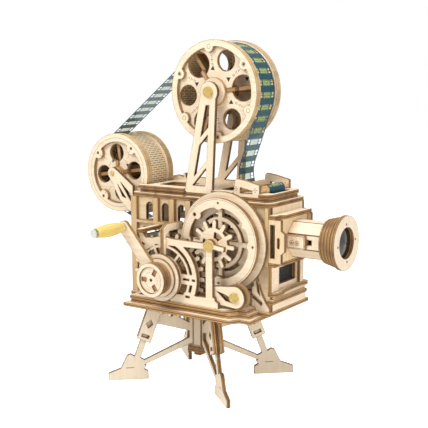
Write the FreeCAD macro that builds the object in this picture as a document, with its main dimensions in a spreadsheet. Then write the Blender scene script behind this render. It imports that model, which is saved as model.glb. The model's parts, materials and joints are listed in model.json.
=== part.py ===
import FreeCAD, Part
import Sketcher
import math
import os
import re

# A hand-cranked film projector made of laser-cut ply, standing on four legs.
# X runs along the lens axis towards the lens, Y runs into the far side, Z is up.
# The crank and its gears are on the near side, which faces -Y.
# Places are written from the middle of the body box, and a shift brings the whole over the frame's origin.

os.makedirs("parts", exist_ok=True)
doc = FreeCAD.newDocument("projector")
sheet = doc.addObject("Spreadsheet::Sheet", "Sizes")

SIZES = {
    # Stock and clearances
    "ply": 3.0,
    "fit": 0.08,
    "gap": 0.3,
    # From the middle of the body box to the middle of the whole, where the frame's origin is
    "shift_x": -10.8,
    "shift_y": 24.2,
    # Stand: a square column on four legs, set off towards the crank side
    "stand_y": -5.0,
    "leg_angle": 41.5,
    "front_leg_angle": 39.4,
    "column_width": 12.4,
    "column_foot": 28.0,
    "collar_drop": 5.5,
    "foot_inner": 45.0,
    "foot_outer": 78.5,
    "foot_edge": 6.0,
    "foot_shoulder": 10.0,
    "foot_top": 21.0,
    "strut_width": 5.6,
    "cheek_width": 12.6,
    "cheek_foot": 34.0,
    "brace_width": 4.6,
    "leg_lean": 0.36,
    # Deck: three plates
    "deck_under": 66.3,
    "deck_front": -55.8,
    "deck_left": -41.8,
    "deck_right": 61.5,
    "nose_right": 76.0,
    "nose_front": -48.6,
    "notch_right": 66.5,
    "deck_step": 3.4,
    "base_right": 82.0,
    "base_half": 31.0,
    # Body box
    "wall_left": -54.0,
    "wall_right": 80.0,
    "wall_half": 26.0,
    "wall_top": 153.0,
    "window_pitch": 16.4,
    "window_width": 7.2,
    "window_drop": 19.0,
    "window_height": 14.6,
    "window_first": -36.4,
    "pilaster_width": 5.4,
    "pilaster_foot": 131.0,
    "bay_left": -45.0,
    "bay_right": 33.0,
    "bay_foot": 86.0,
    "bay_head": 128.0,
    "cornice_out": 2.2,
    "cornice_radius": 8.0,
    "slot_half": 11.5,
    "reel_half": 18.8,
    # Tower frames that carry the upper reel
    "frame_inner": 21.0,
    "tower_left": -1.4,
    "tower_right": 24.9,
    "tower_leg": 6.4,
    "tower_rail": 6.0,
    "tower_eye": 8.2,
    "tower_brace": 3.6,
    # Upper reel
    "upper_x": 22.4,
    "upper_z": 238.9,
    "upper_radius": 40.3,
    "upper_drum": 38.2,
    "upper_rim": 5.2,
    "upper_lobe": 4.2,
    "upper_phase": 6.6,
    "upper_hole_pitch": 26.2,
    "upper_hole_large": 10.2,
    "upper_hole_small": 8.2,
    "upper_hub": 11.2,
    "upper_key": 8.4,
    # Take-up reel
    "lower_x": -78.0,
    "lower_z": 169.7,
    "lower_radius": 33.4,
    "lower_drum": 30.5,
    "lower_rim": 7.2,
    "lower_lobe": 4.9,
    "lower_phase": 8.0,
    "lower_hole_pitch": 16.9,
    "lower_hole": 7.5,
    "lower_hub": 5.6,
    "lower_key": 4.4,
    # Both reels
    "reel_inside": 23.6,
    "drum_wall": 2.0,
    "axle_radius": 2.0,
    "sleeve_radius": 5.0,
    # Crank and gear train
    "crank_x": -2.8,
    "crank_z": 94.8,
    "wheel_x": 40.5,
    "wheel_z": 123.8,
    "gear_teeth": 24,
    "pinion_teeth": 12,
    "tooth_width": 3.5,
    "pinion_out": 2.05,
    "gear_out": 0.3,
    "tooth_root": 4.2,
    "gear_front": -45.0,
    "bracket_front": -51.0,
    "shaft_radius": 3.0,
    "sprocket_radius": 12.0,
    "drum_front": -69.0,
    "drum_radius": 12.9,
    "drum_face": 13.7,
    "flange_radius": 19.0,
    "crank_throw": 49.8,
    "crank_angle": 130.5,
    "arm_width": 10.4,
    "handle_length": 31.0,
    "handle_radius": 5.3,
    "handle_neck": 3.8,
    "pin_radius": 1.6,
    # Flywheel
    "wheel_front": -38.4,
    "wheel_radius": 35.2,
    "wheel_inner": 27.6,
    "wheel_spacer": 34.0,
    "wheel_ring": 20.3,
    "wheel_rim": 39.4,
    "wheel_slot": 21.7,
    "guard_radius": 31.8,
    # Film path
    "film_half": 11.2,
    "film_thick": 0.3,
    "guide_x": 50.5,
    "guide_z": 163.6,
    "guide_radius": 5.2,
    "front_x": 66.7,
    "front_z": 163.8,
    "front_radius": 3.7,
    "idler_x": 61.9,
    "idler_z": 85.6,
    "idler_radius": 9.6,
    "slack_x": 68.1,
    "slack_z": 175.2,
    "slack_radius": 25.8,
    "guide_axle": 1.3,
    "rod_x": -47.4,
    "rod_z": 125.4,
    "rod_radius": 1.6,
    # Lens side
    "lens_z": 127.0,
    "housing_front": 91.0,
    "housing_far": 17.4,
    "housing_foot": 111.0,
    "housing_head": 144.5,
    "tube_flat": 14.0,
    "tube_start": 88.0,
    "tube_front": 121.5,
    "barrel_back": 116.4,
    "barrel_front": 131.0,
    "barrel_radius": 17.4,
    "barrel_flare": 19.6,
    "lens_flange": 21.0,
    "lens_opening": 12.0,
    "glass_radius": 12.8,
    "ledge_top": 88.0,
}


def fill_sheet():
    for row, (alias, size) in enumerate(SIZES.items(), 1):
        sheet.set("A%d" % row, alias)
        sheet.set("B%d" % row, str(size))
        sheet.setAlias("B%d" % row, alias)
    doc.recompute()


def bound(text):
    """The expression with every size written as its cell in the sheet."""
    return re.sub(r"[a-z][a-z_]*",
                  lambda word: "Sizes." + word.group() if word.group() in SIZES else word.group(), text)


def value(text):
    return float(sheet.evalExpression(bound(text)))


fill_sheet()
pieces = []


# Building helpers

def body(label, x="0", y="0", z="0", turn=None, axis=(0, 0, 1)):
    """An empty body at a place, turned about an axis, which is upright unless another is given."""
    owner = doc.addObject("PartDesign::Body", label)
    owner.Label = label
    owner.AllowCompound = True
    owner.Placement = FreeCAD.Placement(FreeCAD.Vector(), FreeCAD.Rotation(FreeCAD.Vector(*axis), 0))
    for axis, size in (("x", "%s + shift_x" % x), ("y", "%s + shift_y" % y), ("z", z)):
        owner.setExpression("Placement.Base." + axis, bound(size))
    if turn:
        owner.setExpression("Placement.Rotation.Angle", bound(turn))
    pieces.append(owner)
    return owner


PLANES = {"X": "YZ_Plane", "Y": "XZ_Plane", "Z": "XY_Plane"}


def sketch(owner, across, level="0"):
    """A sketch across one axis at a level on it. Across Y it looks along +Y: its sides are X and Z."""
    face = owner.newObject("Sketcher::SketchObject", "Profile")
    plane = next(item for item in owner.Origin.OriginFeatures if item.Role == PLANES[across])
    face.AttachmentSupport = (plane, [""])
    face.MapMode = "FlatFace"
    if level != "0":
        sign = "-1 * " if across == "Y" else ""
        face.setExpression("AttachmentOffset.Base.z", bound(sign + "(" + level + ")"))
    return face


def hold(face, rules):
    """Add constraints and bind each to its expression."""
    for kind, places, size in rules:
        index = face.addConstraint(Sketcher.Constraint(kind, *places, value(size)))
        face.setExpression("Constraints[%d]" % index, bound(size))


def hold_point(geometry, point, x, y):
    return [("DistanceX", (-1, 1, geometry, point), x), ("DistanceY", (-1, 1, geometry, point), y)]


def circle(face, radius, x="0", y="0"):
    centre = FreeCAD.Vector(value(x), value(y), 0)
    index = face.addGeometry(Part.Circle(centre, FreeCAD.Vector(0, 0, 1), value(radius)))
    hold(face, hold_point(index, 3, x, y) + [("Radius", (index,), radius)])


def outline(face, *corners):
    """A closed chain through the corners, anticlockwise. A corner's third entry is the radius of the arc
    that leaves it, with a minus where the arc hollows the outline."""
    spots = [FreeCAD.Vector(value(corner[0]), value(corner[1]), 0) for corner in corners]
    ends = []
    rules = []
    for number, corner in enumerate(corners):
        here, there = spots[number], spots[(number + 1) % len(spots)]
        if len(corner) == 2:
            index = face.addGeometry(Part.LineSegment(here, there))
            ends.append((index, 1, 2))
        else:
            hollow = corner[2].startswith("-")
            size = corner[2].lstrip("-")
            radius = value(size)
            step = there - here
            aside = FreeCAD.Vector(-step.y, step.x, 0).normalize() * (-1 if hollow else 1)
            centre = (here + there) * 0.5 + aside * math.sqrt(max(radius ** 2 - step.Length ** 2 / 4, 0))
            first, last = (there, here) if hollow else (here, there)
            angles = [math.atan2(spot.y - centre.y, spot.x - centre.x) for spot in (first, last)]
            bow = Part.ArcOfCircle(Part.Circle(centre, FreeCAD.Vector(0, 0, 1), radius), *angles)
            index = face.addGeometry(bow)
            ends.append((index, 2, 1) if hollow else (index, 1, 2))
            rules.append(("Radius", (index,), size))
        rules += hold_point(ends[-1][0], ends[-1][1], corner[0], corner[1])
    for number, (index, start, end) in enumerate(ends):
        after = ends[(number + 1) % len(ends)]
        face.addConstraint(Sketcher.Constraint("Coincident", index, end, after[0], after[1]))
    hold(face, rules)


def box(face, left, right, low, high):
    outline(face, (left, low), (right, low), (right, high), (left, high))


def bar(face, start, end, width):
    """A straight bar of one width between two points, which are pairs of expressions."""
    run = [value(last) - value(first) for first, last in zip(start, end)]
    lean = "%s" % round(math.degrees(math.atan2(run[1], run[0])), 4)
    x, y = "(%s) / 2 * sin(%s)" % (width, lean), "(%s) / 2 * cos(%s)" % (width, lean)
    outline(face,
            ("%s + %s" % (start[0], x), "%s - %s" % (start[1], y)),
            ("%s + %s" % (end[0], x), "%s - %s" % (end[1], y)),
            ("%s - %s" % (end[0], x), "%s + %s" % (end[1], y)),
            ("%s - %s" % (start[0], x), "%s + %s" % (start[1], y)))


def sector(face, inner, outer, middle, half, x="0", y="0"):
    """A slice of a ring about a centre, in degrees about its middle."""
    def at(radius, side):
        angle = "(%s %s %s)" % (middle, side, half)
        return ("%s + (%s) * cos%s" % (x, radius, angle), "%s + (%s) * sin%s" % (y, radius, angle))
    outline(face, at(inner, "-"), at(outer, "-") + (outer,), at(outer, "+"),
            at(inner, "+") + ("-" + inner,))


def pad(owner, face, length, middle=False):
    feature = owner.newObject("PartDesign::Pad", "Pad")
    feature.Profile = face
    feature.setExpression("Length", bound(length))
    if middle:
        feature.SideType = "Symmetric"
    return feature


def pocket(owner, face, depth=None):
    """A cut, right through both ways unless a depth is given."""
    feature = owner.newObject("PartDesign::Pocket", "Pocket")
    feature.Profile = face
    if depth:
        feature.setExpression("Length", bound(depth))
    else:
        feature.Type = "ThroughAll"
        feature.SideType = "Symmetric"
    return feature


def around(owner, feature, count):
    """Repeat a feature round the axis of its own sketch."""
    pattern = owner.newObject("PartDesign::PolarPattern", "Round")
    pattern.Originals = [feature]
    pattern.Axis = (feature.Profile[0], ["N_Axis"])
    pattern.Angle = 360
    pattern.setExpression("Occurrences", bound(count))
    owner.Tip = pattern
    return pattern


def disc(label, radius, back, thick, x="0", z="0", bore=None):
    """A disc about an axis along Y, from its far face towards the viewer."""
    owner = body(label, x, "0", z)
    face = sketch(owner, "Y", back)
    circle(face, radius)
    if bore:
        circle(face, bore)
    pad(owner, face, thick)
    return owner


def group(label, members):
    """Pieces of one kind that share a file."""
    for member in members:
        pieces.remove(member)
    whole = doc.addObject("Part::Compound", label)
    whole.Label = label
    whole.Links = members
    pieces.append(whole)
    return whole


def spin(angle, *corners):
    """The corners turned by an angle about the sketch's origin."""
    turned = []
    for corner in corners:
        x, y = "(%s)" % corner[0], "(%s)" % corner[1]
        along = "%s * cos(%s) - %s * sin(%s)" % (x, angle, y, angle)
        up = "%s * sin(%s) + %s * cos(%s)" % (x, angle, y, angle)
        turned.append((along, up) + tuple(corner[2:]))
    return turned


def plate(label, back, *corners):
    """A ply plate across Y, from its far face towards the viewer."""
    owner = body(label)
    face = sketch(owner, "Y", back)
    outline(face, *corners)
    pad(owner, face, "ply")
    return owner


def cut(owner, across, *shapes):
    """Cut right through; each shape is a corner list, or a radius with its centre."""
    face = sketch(owner, across)
    for shape in shapes:
        if isinstance(shape[0], str):
            circle(face, *shape)
        else:
            outline(face, *shape)
    return pocket(owner, face)


def add(owner, back, *shapes, thick="ply"):
    """Add plate to a body across Y."""
    for shape in shapes:
        face = sketch(owner, "Y", back)
        if isinstance(shape[0], str):
            circle(face, *shape)
        elif len(shape) == 3 and isinstance(shape[2], str):
            bar(face, *shape)
        else:
            outline(face, *shape)
        feature = pad(owner, face, thick)
    return feature


def rounded(left, right, low, high, radius):
    """The corners of a rectangle with round corners."""
    inner = ["%s + (%s)" % (left, radius), "%s - (%s)" % (right, radius),
             "%s + (%s)" % (low, radius), "%s - (%s)" % (high, radius)]
    return [(inner[0], low), (inner[1], low, radius), (right, inner[2]), (right, inner[3], radius),
            (inner[1], high), (inner[0], high, radius), (left, inner[3]), (left, inner[2], radius)]


# Stand

TURNS = (("right", "leg_angle"), ("rear", "180 - leg_angle"), ("left", "180 + leg_angle"),
         ("front", "0 - front_leg_angle"))
HIP = "foot_inner + 5.4 + leg_lean * (foot_top - deck_under)"


def on_strut(offset, height):
    """A corner beside the strut's inner edge at a height."""
    return ("%s + %s + leg_lean * (deck_under - (%s))" % (HIP, offset, height), height)


def leg(label, turn):
    """One leg: foot, strut, brace to the column and arm under the deck, cut from one sheet."""
    owner = body(label, "0", "stand_y", "0", turn)
    face = sketch(owner, "Y")
    outline(face,
            ("foot_inner", "0"), ("foot_outer", "0"), ("foot_outer", "foot_edge"),
            ("foot_outer - 10.6", "foot_shoulder"), ("foot_outer - 16", "foot_top"),
            ("foot_outer - 19", "foot_top + 1"), on_strut("strut_width", "foot_top - 1"),
            on_strut("strut_width", "deck_under"),
            ("column_width / 2 - 2", "deck_under"), ("column_width / 2 - 2", "column_foot + 1"),
            ("column_width / 2 + 4", "column_foot + 1"),
            ("foot_inner + 3.2", "foot_top - 8.6"), ("foot_inner + 1.4", "foot_top - 9.4"),
            ("foot_inner + 3.4", "foot_shoulder - 1.4"), ("foot_inner", "foot_edge + 0.6"))
    pad(owner, face, "ply", True)
    holes = sketch(owner, "Y")
    outline(holes,
            ("column_width / 2 + 4", "column_foot + 2 + brace_width"),
            ("foot_inner + 3", "foot_top - 9 + brace_width"),
            on_strut("0", "foot_top - 2.6"), on_strut("0", "deck_under - 18"),
            ("column_width / 2 + 4", "deck_under - 26"))
    outline(holes,
            ("column_width / 2 + 4", "deck_under - 19"), on_strut("0 - 6", "deck_under - 7"),
            ("column_width / 2 + 4", "deck_under - 7"))
    pocket(owner, holes)


def cheek(turn, side):
    """A doubling plate on one face of a leg, under the deck, with a slot and a square hole."""
    owner = body("cheek", "0", "stand_y", "0", turn)
    face = sketch(owner, "Y", "(%s) * ply + ply / 2" % side)
    outline(face,
            on_strut("strut_width / 2 - cheek_width / 2", "cheek_foot - 2.4"),
            on_strut("strut_width / 2 + cheek_width / 2", "cheek_foot + 2.4"),
            on_strut("strut_width / 2 + cheek_width / 2", "deck_under"),
            on_strut("strut_width / 2 - cheek_width / 2", "deck_under"))
    pad(owner, face, "ply")
    holes = sketch(owner, "Y")
    outline(holes,
            on_strut("strut_width / 2 - 3.4", "cheek_foot + 1.4"),
            on_strut("strut_width / 2 + 3.4", "cheek_foot + 3.8"),
            on_strut("strut_width / 2 + 3.4", "cheek_foot + 6.4"),
            on_strut("strut_width / 2 - 3.4", "cheek_foot + 4"))
    outline(holes,
            on_strut("strut_width / 2", "cheek_foot + 10.4"),
            on_strut("strut_width / 2 + 3", "cheek_foot + 14.6"),
            on_strut("strut_width / 2", "cheek_foot + 17.6"),
            on_strut("strut_width / 2 - 3", "cheek_foot + 13.4"))
    pocket(owner, holes)
    return owner


def column():
    """Four narrow plates with the legs between their edges."""
    owner = body("stand_column", "0", "stand_y", "column_foot")
    face = sketch(owner, "Z")
    half = "column_width / 2"
    box(face, "0 - " + half, half, "0 - " + half, half)
    box(face, "ply - " + half, half + " - ply", "ply - " + half, half + " - ply")
    pad(owner, face, "deck_under - column_foot")
    slot = [("0", "0 - ply / 2 - fit"), ("column_width", "0 - ply / 2 - fit"),
            ("column_width", "ply / 2 + fit"), ("0", "ply / 2 + fit")]
    for _, turn in TURNS:
        corner = sketch(owner, "Z")
        outline(corner, *spin(turn, *slot))
        pocket(owner, corner)


def collar():
    owner = body("stand_collar", "0", "stand_y", "column_foot - collar_drop")
    face = sketch(owner, "Z")
    half = "(column_width / 2 + 1.4)"
    outline(face, *rounded("0 - " + half, half, "0 - " + half, half, "1"))
    pad(owner, face, "collar_drop")
    tab = sketch(owner, "Z", "0 - 2.6")
    box(tab, "0 - 3", "3", "0 - column_width / 2", "column_width / 2")
    pad(owner, tab, "2.6")


def stand():
    for side, turn in TURNS:
        leg("leg_" + side, turn)
    group("leg_cheeks", [cheek(turn, side) for _, turn in TURNS for side in ("1", "0 - 1")])
    column()
    collar()


CENTRES = "sqrt((wheel_x - crank_x)^2 + (wheel_z - crank_z)^2)"
LINE = "atan2(wheel_z - crank_z; wheel_x - crank_x)"


LARGE = "(%s * gear_teeth / (gear_teeth + pinion_teeth))" % CENTRES
SMALL = "(%s * pinion_teeth / (gear_teeth + pinion_teeth))" % CENTRES
GEAR_TIP = "(%s + gear_out)" % LARGE


# Deck

BASE_TOP = "deck_under + 2 * ply"
NOSE = "nose_right - 7.5"


def deck_plate(label, level, *corners):
    """A plate of the deck, slotted for the foot of the crank gear."""
    owner = body(label, z=level)
    face = sketch(owner, "Z")
    outline(face, *corners)
    pad(owner, face, "ply")
    slot = sketch(owner, "Z")
    half = "(sqrt(%s^2 - (crank_z - (%s) - ply)^2) + 1)" % (GEAR_TIP, level)
    box(slot, "crank_x - " + half, "crank_x + " + half, "gear_front - 1.2", "gear_front + ply + 1.2")
    pocket(owner, slot)


def deck():
    deck_plate("deck_lower", "deck_under",
               ("deck_left", "deck_front"), ("deck_right", "deck_front"), ("notch_right", "nose_front"),
               ("nose_right", "nose_front"), ("nose_right", "base_half - 4"),
               ("deck_left", "base_half - 4"))
    deck_plate("deck_base", "deck_under + ply",
               ("deck_left + deck_step + 1", "deck_front + 5"), ("deck_right - 3", "deck_front + 5"),
               ("notch_right - 3", "nose_front + 5"), ("nose_right - 4", "nose_front + 5"),
               ("nose_right - 4", "0 - base_half"), ("base_right", "0 - base_half"),
               ("base_right", "base_half"), ("wall_left", "base_half"), ("wall_left", "0 - base_half"),
               ("deck_left + deck_step + 1", "0 - base_half"))
    deck_plate("deck_upper", BASE_TOP,
               ("deck_left + 4.4", "deck_front + deck_step"), ("deck_right - 7", "deck_front + deck_step"),
               ("notch_right - 5", "nose_front + 6"), (NOSE, "nose_front + 6"),
               (NOSE, "0 - wall_half"), ("deck_left + 4.4", "0 - wall_half"))


# Body box

SILL = "wall_top - window_drop"


def arch(number):
    left = "window_first - window_width / 2 + %d * window_pitch" % number
    right = "window_first + window_width / 2 + %d * window_pitch" % number
    spring = SILL + " + window_height - window_width / 2"
    middle = "window_first + %d * window_pitch" % number
    return [(left, SILL), (right, SILL), (right, spring, "window_width / 2"),
            (middle, SILL + " + window_height", "window_width / 2"), (left, spring)]


def long_wall(label, back):
    """A long wall with arched windows over an open bay; an eye in the bay carries the crank shaft."""
    owner = plate(label, back,
                  ("wall_left", BASE_TOP), ("wall_right", BASE_TOP), ("wall_right", "wall_top"),
                  ("wall_left", "wall_top"))
    cut(owner, "Y", *[arch(number) for number in range(7)])
    cut(owner, "Y", rounded("bay_left", "bay_right", "bay_foot", "bay_head", "4"))
    add(owner, back, [("crank_x - 5", "bay_foot - 1"), ("crank_x + 5", "bay_foot - 1"),
                      ("crank_x + 5", "bay_head + 1"), ("crank_x - 5", "bay_head + 1")],
        ("9", "crank_x", "crank_z"))
    cut(owner, "Y", ("shaft_radius + fit", "crank_x", "crank_z"),
        ("shaft_radius + fit", "wheel_x", "wheel_z"),
        ("axle_radius + fit", "idler_x", "idler_z"))
    return owner


def end_walls():
    rear = body("rear_wall")
    face = sketch(rear, "X", "wall_left")
    inner = "wall_half - ply"
    box(face, "0 - (" + inner + ")", inner, BASE_TOP, "wall_top")
    pad(rear, face, "ply")
    hole = sketch(rear, "X")
    box(hole, "0 - slot_half", "slot_half", "118", "136")
    box(hole, "0 - reel_half", "reel_half", "lower_z - lower_radius + 6", "wall_top + 1")
    pocket(rear, hole)

    front = body("front_wall")
    face = sketch(front, "X", "wall_right - ply")
    box(face, "0 - (" + inner + ")", inner, BASE_TOP, "wall_top")
    circle(face, "tube_flat - 3", "0", "lens_z")
    box(face, "0 - 12.5", "12.5", "91.5", "104.5")
    pad(front, face, "ply")


def pilasters(back, front_corner):
    """Strips between the windows, the corner strips and the sill, all on the outer face of a long wall."""
    owner = body("strips")
    for number in range(6):
        centre = "window_first + %s * window_pitch" % (number + 0.5)
        face = sketch(owner, "Y", back)
        box(face, centre + " - pilaster_width / 2", centre + " + pilaster_width / 2", "pilaster_foot",
            "wall_top")
        pad(owner, face, "ply")
    corners = [("wall_left", "wall_left + 6", BASE_TOP)]
    if front_corner:
        corners.append(("wall_right - 3.4", "wall_right", "housing_foot - 4"))
    for left, right, low in corners:
        face = sketch(owner, "Y", back)
        box(face, left, right, low, "wall_top")
        pad(owner, face, "ply")
    face = sketch(owner, "Y", back)
    box(face, "wall_left + 3", "wall_right - 3", "pilaster_foot", "pilaster_foot + 2.6")
    pad(owner, face, "ply")
    return owner


# Roof

LEDGE = "wall_top + 2 * ply"
ROOF = "wall_top + 3 * ply"
GUIDE_LEFT = "guide_x - 5.8"
GUIDE_RIGHT = "front_x + 2.1"


def across_roof(left, right, reach):
    """A rectangle in the roof from one side of the film to the other."""
    return [(left, "0 - " + reach), (right, "0 - " + reach), (right, reach), (left, reach)]


def cornice():
    """Three plates. The upper one is notched for the towers and the guide plates, which stand on the
    middle one."""
    lower = body("cornice_lower", z="wall_top")
    face = sketch(lower, "Z")
    outline(face, *rounded("wall_left - 1.6", "wall_right + 1.6", "0 - (wall_half + cornice_out)",
                           "(wall_half + cornice_out)", "cornice_radius"))
    pad(lower, face, "ply")
    middle = body("cornice_middle", z="wall_top + ply")
    face = sketch(middle, "Z")
    outline(face, *rounded("wall_left + 3.4", "wall_right - 2.6", "0 - (wall_half - 2.4)",
                           "(wall_half - 2.4)", "cornice_radius - 3"))
    pad(middle, face, "ply")
    upper = body("cornice_upper", z=LEDGE)
    face = sketch(upper, "Z")
    outline(face, *rounded("wall_left + 2.4", "wall_right - 1.8", "0 - (wall_half - 0.4)",
                           "(wall_half - 0.4)", "cornice_radius - 1"))
    pad(upper, face, "ply")
    for owner in (lower, middle, upper):
        cut(owner, "Z", across_roof("guide_x - 7", "wall_right - 5.2", "13"),
            across_roof("wall_left - 6", "lower_x + lower_radius + 0.8", "reel_half"))
    for owner in (middle, upper):
        cut(owner, "Z", rounded("wall_left + 18", "tower_left - 7", "0 - 14", "7.5", "3"),
            rounded("tower_right + 1.6", "guide_x - 10.5", "0 - 14", "7.5", "3"))
    near, far = "(frame_inner - fit)", "(frame_inner + ply + fit)"
    for left, right in (("tower_left - fit", "tower_right + fit + 0.2"),
                        (GUIDE_LEFT + " - fit", GUIDE_RIGHT + " + fit")):
        cut(upper, "Z", [(left, "0 - wall_half"), (right, "0 - wall_half"), (right, "0 - " + near),
                         (left, "0 - " + near)])
    for left, right in (("wall_left + 4 - fit", "tower_right + fit + 0.2"),
                        (GUIDE_LEFT + " - fit", GUIDE_RIGHT + " + fit")):
        cut(upper, "Z", [(left, near), (right, near), (right, far), (left, far)])


# Tower frames and take-up arms

def tower(label, back):
    """A tall frame with two legs, two diagonals and a round eye for the reel's axle."""
    owner = plate(label, back,
                  ("tower_left + 2", LEDGE), ("tower_right", LEDGE), ("upper_x + 6.8", "upper_z"),
                  ("upper_x - 7.4", "upper_z"), ("tower_left", LEDGE + " + 2", "2"))
    add(owner, back, ("tower_eye", "upper_x", "upper_z"))
    lean = "(upper_x - 7.4 - tower_left) / (upper_z - (%s))" % LEDGE
    cut(owner, "Y",
        [("tower_left + tower_leg + %s * tower_rail" % lean, LEDGE + " + tower_rail"),
         ("tower_right - tower_leg", LEDGE + " + tower_rail"),
         ("upper_x + 0.6", "upper_z - tower_eye - 2"),
         ("upper_x - 2.8", "upper_z - tower_eye - 2")])
    add(owner, back,
        (("tower_left + 4", ROOF + " + 1.8"), ("tower_right - 3", ROOF + " + 23"), "tower_brace"),
        (("tower_left + 9", ROOF + " + 32"), ("tower_right - 1.2", ROOF + " + 49"), "tower_brace"))
    cut(owner, "Y", ("axle_radius", "upper_x", "upper_z"))
    return owner


def towers():
    """The far tower is one plate with a wavy rail along the roof, which ends in a small hook."""
    tower("tower_near", "0 - frame_inner")
    far = tower("tower_far", "frame_inner + ply")
    top = ROOF + " + 2.2"
    add(far, "frame_inner + ply",
        [("wall_left + 4", LEDGE), ("tower_left + 3", LEDGE), ("tower_left + 3", ROOF + " + 4.8"),
         ("tower_left - 1", ROOF + " + 4", "-9"), ("tower_left - 9", top, "18"),
         ("tower_left - 22", top, "-22"),
         ("wall_left + 20.6", top), ("wall_left + 20", ROOF + " + 5.8", "1.4"),
         ("wall_left + 17.6", ROOF + " + 5.4"),
         ("wall_left + 18.2", top, "12"), ("wall_left + 4", ROOF + " + 1.4")])


def takeup_arm(back):
    """A fan of three struts from the rear wall to the take-up axle."""
    root = "wall_left - 1.9"
    owner = plate("arm", back,
                  ("lower_x - 3.6", "lower_z - 3.2"), ("lower_x + 8", "lower_z - 22"),
                  ("wall_left - 7", "wall_top - 14"),
                  ("wall_left", "wall_top - 14"), ("wall_left", "wall_top"), (root, "wall_top"),
                  (root, "wall_top + 7.4"), ("lower_x + 2.6", "lower_z + 4.4"))
    add(owner, back, ("5", "lower_x", "lower_z"))
    cut(owner, "Y",
        [("lower_x + 8.4", "lower_z - 6.4"), (root + " - 2.4", "lower_z - 22.6"),
         (root + " - 2.4", "lower_z - 16.4")],
        [("lower_x + 5", "lower_z - 8"), ("lower_x + 10.6", "lower_z - 19"),
         ("lower_x + 15", "lower_z - 20.4")],
        ("axle_radius", "lower_x", "lower_z"))
    return owner


def axle(x, z, half, radius="axle_radius"):
    owner = body("axle", x, "0", z)
    face = sketch(owner, "Y")
    circle(face, radius)
    pad(owner, face, "2 * (%s)" % half, True)
    return owner


# Reels

ABOUT_AXLE = (0, -1, 0)


def polar(radius, angle):
    return ("(%s) * cos(%s)" % (radius, angle), "(%s) * sin(%s)" % (radius, angle))


def flange(name, label, place, back, rim_back, holes, lobes, keys):
    """A reel's side: a drilled disc under a lobed ring, with slots for the keys."""
    radius, rim = name + "_radius", "(%s_radius - %s_rim)" % (name, name)
    owner = body(label, *place, axis=ABOUT_AXLE)
    face = sketch(owner, "Y", back)
    circle(face, radius)
    circle(face, "sleeve_radius")
    pad(owner, face, "ply")
    for size, pitch, count, start in holes:
        hole = sketch(owner, "Y")
        circle(hole, size, *polar(pitch, start))
        around(owner, pocket(owner, hole), count)
    slot = sketch(owner, "Y")
    start = name + "_hub + gap"
    box(slot, start, "%s + %s_key" % (start, name), "0 - ply / 2", "ply / 2")
    around(owner, pocket(owner, slot), keys)
    ring = sketch(owner, "Y", rim_back)
    circle(ring, radius)
    circle(ring, rim)
    pad(owner, ring, "ply")
    lobe = sketch(owner, "Y", rim_back)
    circle(lobe, name + "_lobe", *polar(rim, "180 / %s" % lobes))
    around(owner, pad(owner, lobe, "ply"), lobes)
    return owner


def reel(name, label, holes, lobes, keys):
    """Two flanges on a hollow drum and a sleeve, tied by keys that show through the flanges' slots."""
    inside, hub = "reel_inside / 2", name + "_hub"
    place = (name + "_x", "0", name + "_z", name + "_phase")
    near = flange(name, "near", place, "0 - " + inside, "0 - %s - ply" % inside, holes, lobes, keys)
    far = flange(name, "far", place, inside + " + ply", inside + " + 2 * ply", holes, lobes, keys)
    group(label + "_flanges", [near, far])
    disc(label + "_drum", name + "_drum", inside, "reel_inside", name + "_x", name + "_z",
         name + "_drum - drum_wall")

    sleeve = body(label + "_hub", name + "_x", "0", name + "_z")
    face = sketch(sleeve, "Y", "frame_inner - gap")
    circle(face, "sleeve_radius")
    pad(sleeve, face, "2 * (frame_inner - gap)")
    for level in (inside + " + 2 * ply", "0 - %s - ply" % inside):
        boss = sketch(sleeve, "Y", level)
        circle(boss, hub)
        pad(sleeve, boss, "ply")
    cut(sleeve, "Y", ("axle_radius + fit",))

    fins = body(label + "_keys", *place, axis=ABOUT_AXLE)
    face = sketch(fins, "Z", "0 - ply / 2")
    tab = "(reel_inside / 2 + ply + 1.4)"
    start, end = hub + " + gap", "%s + gap + %s_key" % (hub, name)
    reach = "(%s_drum - drum_wall - fit)" % name
    outline(face,
            ("sleeve_radius", "0 - " + inside), (start, "0 - " + inside), (start, "0 - " + tab),
            (end, "0 - " + tab),
            (end, "0 - " + inside), (reach, "0 - " + inside), (reach, inside), (end, inside), (end, tab),
            (start, tab), (start, inside), ("sleeve_radius", inside))
    feature = pad(fins, face, "ply")
    pattern = around(fins, feature, keys)
    pattern.Axis = (next(item for item in fins.Origin.OriginFeatures if item.Role == "Y_Axis"), [""])


def reels():
    reel("upper", "upper_reel",
         (("upper_hole_large", "upper_hole_pitch", "3", "0"),
          ("upper_hole_small", "upper_hole_pitch", "3", "60")),
         "6", "3")
    reel("lower", "takeup_reel", (("lower_hole", "lower_hole_pitch", "4", "0"),), "4", "4")


# Crank and gear train

def teeth(owner, back, pitch, out, count, start):
    """Round-ended teeth on a pitch circle."""
    root, tip = pitch + " - tooth_root - 1", "%s + %s - tooth_width / 2" % (pitch, out)
    half = "tooth_width / 2"
    face = sketch(owner, "Y", back)
    outline(face, *spin(start, (root, "0 - " + half), (tip, "0 - " + half, half),
                        ("%s + %s" % (pitch, out), "0", half),
                        (tip, half), (root, half)))
    around(owner, pad(owner, face, "ply"), count)


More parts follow.
